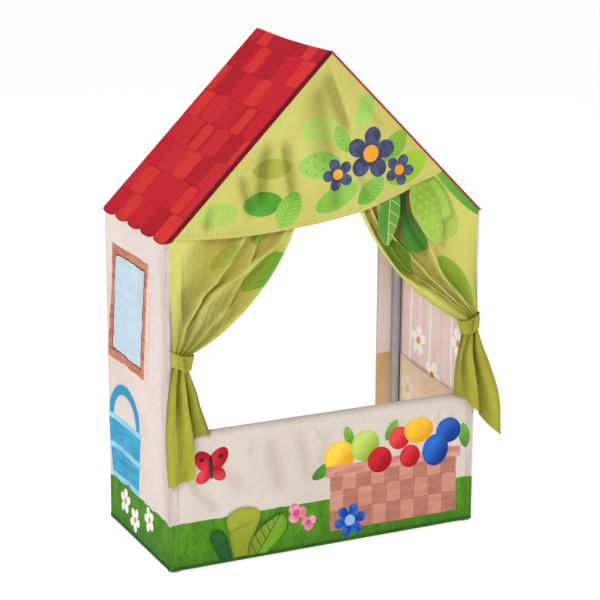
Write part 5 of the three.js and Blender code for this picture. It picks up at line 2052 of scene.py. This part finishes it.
def finishTree(geometry, given, out):
    whole = add("GeometryNodeRealizeInstances", {"Geometry": geometry})
    dressed = add("GeometryNodeSetMaterial", {"Geometry": whole, "Material": given["Material"]})
    return closeGroup(out, Geometry=dressed)


def makeTubeTree():  # a round tube along each line that goes in
    given, out = newNodeTree("tubeRun", {"Radius": 0.0075, "Sides": 32})
    line = add("GeometryNodeMeshToCurve", {"Mesh": given["Geometry"]})
    ring = add(
        "GeometryNodeCurvePrimitiveCircle", {"Resolution": given["Sides"], "Radius": given["Radius"]},
    )
    skin = add("GeometryNodeCurveToMesh", {"Curve": line, "Profile Curve": ring, "Fill Caps": True})
    return finishTree(skin, given, out)


def makeStitchTree():  # separate rounded stitches, end to end along each line that goes in
    sizes = {"Stitch Length": 0.003, "Gap": 0.0014, "Thread Radius": 0.0002}
    given, out = newNodeTree("stitchRun", sizes)
    stitch, radius = given["Stitch Length"], given["Thread Radius"]
    line = add("GeometryNodeMeshToCurve", {"Mesh": given["Geometry"]})
    points = add(
        "GeometryNodeCurveToPoints", {"Curve": line, "Length": stitch + given["Gap"]}, mode="LENGTH",
    )
    tangent = Wire(points.socket.node.outputs["Tangent"])
    inputs = {
        "Points": points,
        "Instance": add(
            "GeometryNodeMeshUVSphere", {"Segments": 6, "Rings": 5, "Radius": 1.0}, tree=out[0].id_data,
        ),
        "Rotation": add("FunctionNodeAlignRotationToVector", {"Vector": tangent}, axis="Z"),
        "Scale": combine(radius, radius, stitch * 0.5),
    }
    return finishTree(add("GeometryNodeInstanceOnPoints", inputs), given, out)


def growAlong(name, lines, tree, **values):  # a tree's mesh, run along lines of points
    points = [point for line in lines for point in line]
    edges, first = [], 0
    for line in lines:
        edges += [(first + i, first + i + 1) for i in range(len(line) - 1)]
        first += len(line)
    mesh = bpy.data.meshes.new(name)
    mesh.from_pydata(points, edges, [])
    piece = addPiece(mesh)
    grown = piece.modifiers.new("grown", "NODES")
    grown.node_group = tree
    for item in tree.interface.items_tree:
        if item.in_out == "INPUT" and item.name in values:
            grown[item.identifier] = values[item.name]
    bake(piece)
    result = piece.data
    bpy.data.objects.remove(piece)
    result.shade_smooth()
    result.set_sharp_from_angle(angle=math.radians(40))
    return result


def tubeLine(node):  # a tube's axis, from the box that it fills
    low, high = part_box(node)
    middle, size = (low + high) / 2, high - low
    if "rafter" in node:
        reach = (size.x - size.y * math.sin(slope)) / math.cos(slope) / 2
        rise = math.sin(slope) * (1 if "left" in node else -1)
        along = Vector((math.cos(slope), 0, rise))
    else:
        reach = max(size) / 2
        along = Vector([1.0 if value == max(size) else 0.0 for value in size])
    return [middle - along * reach, middle + along * reach]


def makeFrame():
    tubes = [name for name in frame["nodes"] if name.endswith(("_upright", "_rafter", "_tube"))]
    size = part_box("sill_tube")
    values = {"Radius": (size[1].z - size[0].z) / 2, "Material": finishes["tube"]}
    piece = addPiece(growAlong("frameTubes", [tubeLine(name) for name in tubes], makeTubeTree(), **values))
    settle(piece, "tube_grey", *tubes)
    connectors = [name for name in frame["nodes"] if name.endswith(("_connector", "_tee"))]
    work = bmesh.new()
    for name in connectors:
        work.from_mesh(frame["nodes"][name].data)
    bmesh.ops.remove_doubles(work, verts=work.verts, dist=0.00001)
    bmesh.ops.dissolve_limit(work, angle_limit=math.radians(1), verts=work.verts, edges=work.edges)
    mesh = bpy.data.meshes.new("frameConnectors")
    work.to_mesh(mesh)
    work.free()
    mesh.materials.clear()
    piece = addPiece(mesh, finishes["moulded"])
    rounded = piece.modifiers.new("rounded", "BEVEL")
    rounded.width = 0.0005
    rounded.segments = 2
    rounded.limit_method = "ANGLE"
    rounded.angle_limit = math.radians(50)
    bake(piece)
    piece.data.shade_smooth()
    piece.data.set_sharp_from_angle(angle=math.radians(35))
    settle(piece, "moulded_grey", *connectors)
    print("frame ready:", len(tubes), "tubes,", len(connectors), "connectors")


makeFrame()

# Stitching: lines laid just off each cloth, then sewn along by the stitch tree

threadDyes = {
    "green": ("929a40", "a4ab50"),
    "cream": ("c9bdb2", "d6cbc1"),
    "red": ("6e0c18", "821522"),
    "dark": ("204012", "2c521a"),
    "pale": ("a2c464", "b0d074"),
    # tan: the pocket's thread, matched to the pocket's painted shade
    "tan": ("b39468", "c0a276"),
}
threads = {}
for word, tones in threadDyes.items():
    threads[word] = grainedMaterial(f"thread{word.title()}", *tones, 0.7, grain=2600.0)
stitchRun = makeStitchTree()
sewing = {"fromHem": 0.0075, "casing": 0.0125, "corner": 0.0052, "roofEdge": 0.0075, "off": 0.00012}


def laidOn(placeAt, start, end, steps=120, off=(0, 0, 0)):  # points across a cloth, by its u and v
    line = []
    for i in range(steps + 1):
        x, y, z, *_ = placeAt(mix(start[0], end[0], i / steps), mix(start[1], end[1], i / steps))
        line.append(toRow(x + off[0], y + off[1], z + off[2]))
    return line


def pedimentHem():
    line = []
    for i in range(301):
        u = mix(0.006, 0.972, i / 300)
        x = mix(pediment["left"], pediment["right"], u)
        low = hemHeight(x)
        top = max(underRoof(x), low + house["cloth"])
        v = (top - low - sewing["fromHem"]) / (top - low)
        if 0.05 < v < 1:
            x, y, z, _ = pedimentPlace(u, v)
            line.append(toRow(x, y - sewing["off"], z))
    return line


def roofLines(side):  # along the eave's scallops and down the two open edges
    lines = []
    whole = 1 if side > 0 else -1
    offX, offZ = sewing["off"] * math.sin(slope) * whole, sewing["off"] * math.cos(slope)

    def at(u, s):
        x, y, z, _ = roofPlace(u, 0.5 + whole * 0.5 * s / roofEnd(u))
        return toRow(x + offX, y, z + offZ)

    lines.append(
        [at(u, roofEnd(u) - sewing["roofEdge"]) for u in (mix(0.02, 0.98, i / 240) for i in range(241))]
    )
    for u in (0.028, 0.972):
        lines.append([at(u, mix(0.006, slopeLength - 0.004, i / 200)) for i in range(201)])
    return lines


def curtainLines(word):
    form = curtainForms[word]
    lines = []
    for u, t0, t1 in ((0.022, 0.10, 0.94), (0.972, 0.12, 0.90)):
        line = []
        for i in range(161):
            x, y, z, *_ = drapePoint(form, u, mix(t0, t1, i / 160))
            line.append(toRow(form["sign"] * x, y - sewing["off"], z))
        lines.append(line)
    for u0, u1 in ((0.02, 0.56), (0.68, 0.98)):
        line = []
        for i in range(121):
            x, y, z, *_ = tailPoint(form, mix(u0, u1, i / 120), 0.955)
            line.append(toRow(form["sign"] * x, y - sewing["off"] - 0.0003, z))
        lines.append(line)
    return lines


def byHeight(lines, height):  # the parts of upright lines above and below one height
    above = [[spot for spot in line if spot[2] > height] for line in lines]
    below = [[spot for spot in line if spot[2] <= height] for line in lines]
    return [line for line in above if len(line) > 1], [line for line in below if len(line) > 1]


def wallLines(side):
    placeAt = wallPlace(side)
    lines = []
    for depth in (sewing["corner"], 0.0105, house["depth"] - 0.009):
        u = (depth + wall["lip"]) / (wallLength + wall["lip"])
        u = u if side > 0 else 1 - u
        lines.append(laidOn(placeAt, (u, 0.012), (u, 0.985), 200, (side * sewing["off"], 0, 0)))
    hemOut = half + house["gap"] + binding["thickness"] + sewing["off"]
    ys = [mix(0.008, house["depth"] - 0.008, i / 60) for i in range(61)]
    return lines, [toRow(side * hemOut, y, house["hemLift"] + binding["height"] * 0.72) for y in ys]


def stageLines():
    toV = lambda w: 1 - w / stage["length"]  # from a height up the cloth to the grid's own share
    inset = 0.0185 / (2 * stage["side"])
    casing = stage["flat"] - sewing["casing"]
    lines = [
        laidOn(stagePlace, (inset, toV(casing)), (1 - inset, toV(casing)), 320, (0, -sewing["off"], 0))
    ]
    for u in (inset * 0.62, 1 - inset * 0.62):
        lines.append(
            laidOn(
                stagePlace, (u, toV(0.008)), (u, toV(stage["flat"] - 0.004)), 160, (0, -sewing["off"], 0),
            )
        )
    return lines


def leafLine(leaf, shape, baseY, thickness, inset=0.0031):  # round a leaf, just in from its edge
    middle, across, upwards, tipAcross, tipUp, halfAt = shape
    line = []
    for turn in (-1, 1):
        side = []
        for i in range(61):
            s = mix(0.05, 0.955, i / 60)
            halfWidth = leaf["width"] * max(halfAt(s), 0.02)
            w = turn * max(1 - inset / halfWidth, 0)
            along = tipAcross * s + 4 * leaf["width"] * leaf.get("bow", 0) * s * (1 - s)
            spot = middle + across * (along + halfWidth * w) + upwards * (tipUp * s)
            y = baseY - leaf.get("reach", 0.0) * s**1.6 * (1 + 0.15 * w) - thickness * 0.34
            side.append(toRow(spot.x, y - sewing["off"], spot.y))
        line += side if turn < 0 else side[::-1]
    return line


def sewLines(name, body, slotName, runs):  # one mesh of stitches for a body, each run in its thread
    work = bmesh.new()
    materials = []
    for colour, lines in runs:
        mesh = growAlong(name, lines, stitchRun, Material=threads[colour])
        first = len(materials)
        for face in mesh.polygons:
            face.material_index = first
        materials.append(threads[colour])
        work.from_mesh(mesh)
    mesh = bpy.data.meshes.new(name)
    work.to_mesh(mesh)
    work.free()
    mesh.shade_smooth()
    piece = addPiece(mesh, *materials)
    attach(piece, body)
    return piece


def sewHouse():
    lines, dark = stageLines(), []
    for side in (-1, 1):
        upright, hem = wallLines(side)
        lines += upright
        dark.append(hem)
    xs = [mix(-stage["side"] + 0.004, stage["side"] - 0.004, i / 120) for i in range(121)]
    front = -house["gap"] - binding["thickness"] - sewing["off"]
    dark.append([toRow(x, front, house["hemLift"] + binding["height"] * 0.72) for x in xs])
    green = [pedimentHem()] + curtainLines("left") + curtainLines("right")
    red = roofLines(-1) + roofLines(1)
    tan = [laidOn(pocketPlace, (0.02, 0.028), (0.98, 0.028), 120, (-house["cloth"] * 0.2, 0, 0))]
    cream, inGrass = byHeight(lines, 0.088)
    dark += inGrass + [leafLine(*line) for line in leafSeams if line[0]["node"] in sewnLeaves]
    sewLines(
        "clothStitches", "house", "wall_cream",
        [("cream", cream), ("dark", dark), ("green", green), ("red", red), ("tan", tan)],
    )


sewHouse()
for line in leafSeams:
    if line[0]["node"] in looseLeaves:
        node = line[0]["node"]
        sewLines(
            f"{leafLooks[node][0]}Stitches", node, leafLooks[node][1],
            [(line[0].get("thread", "dark"), [leafLine(*line)])],
        )
print("stitching ready")
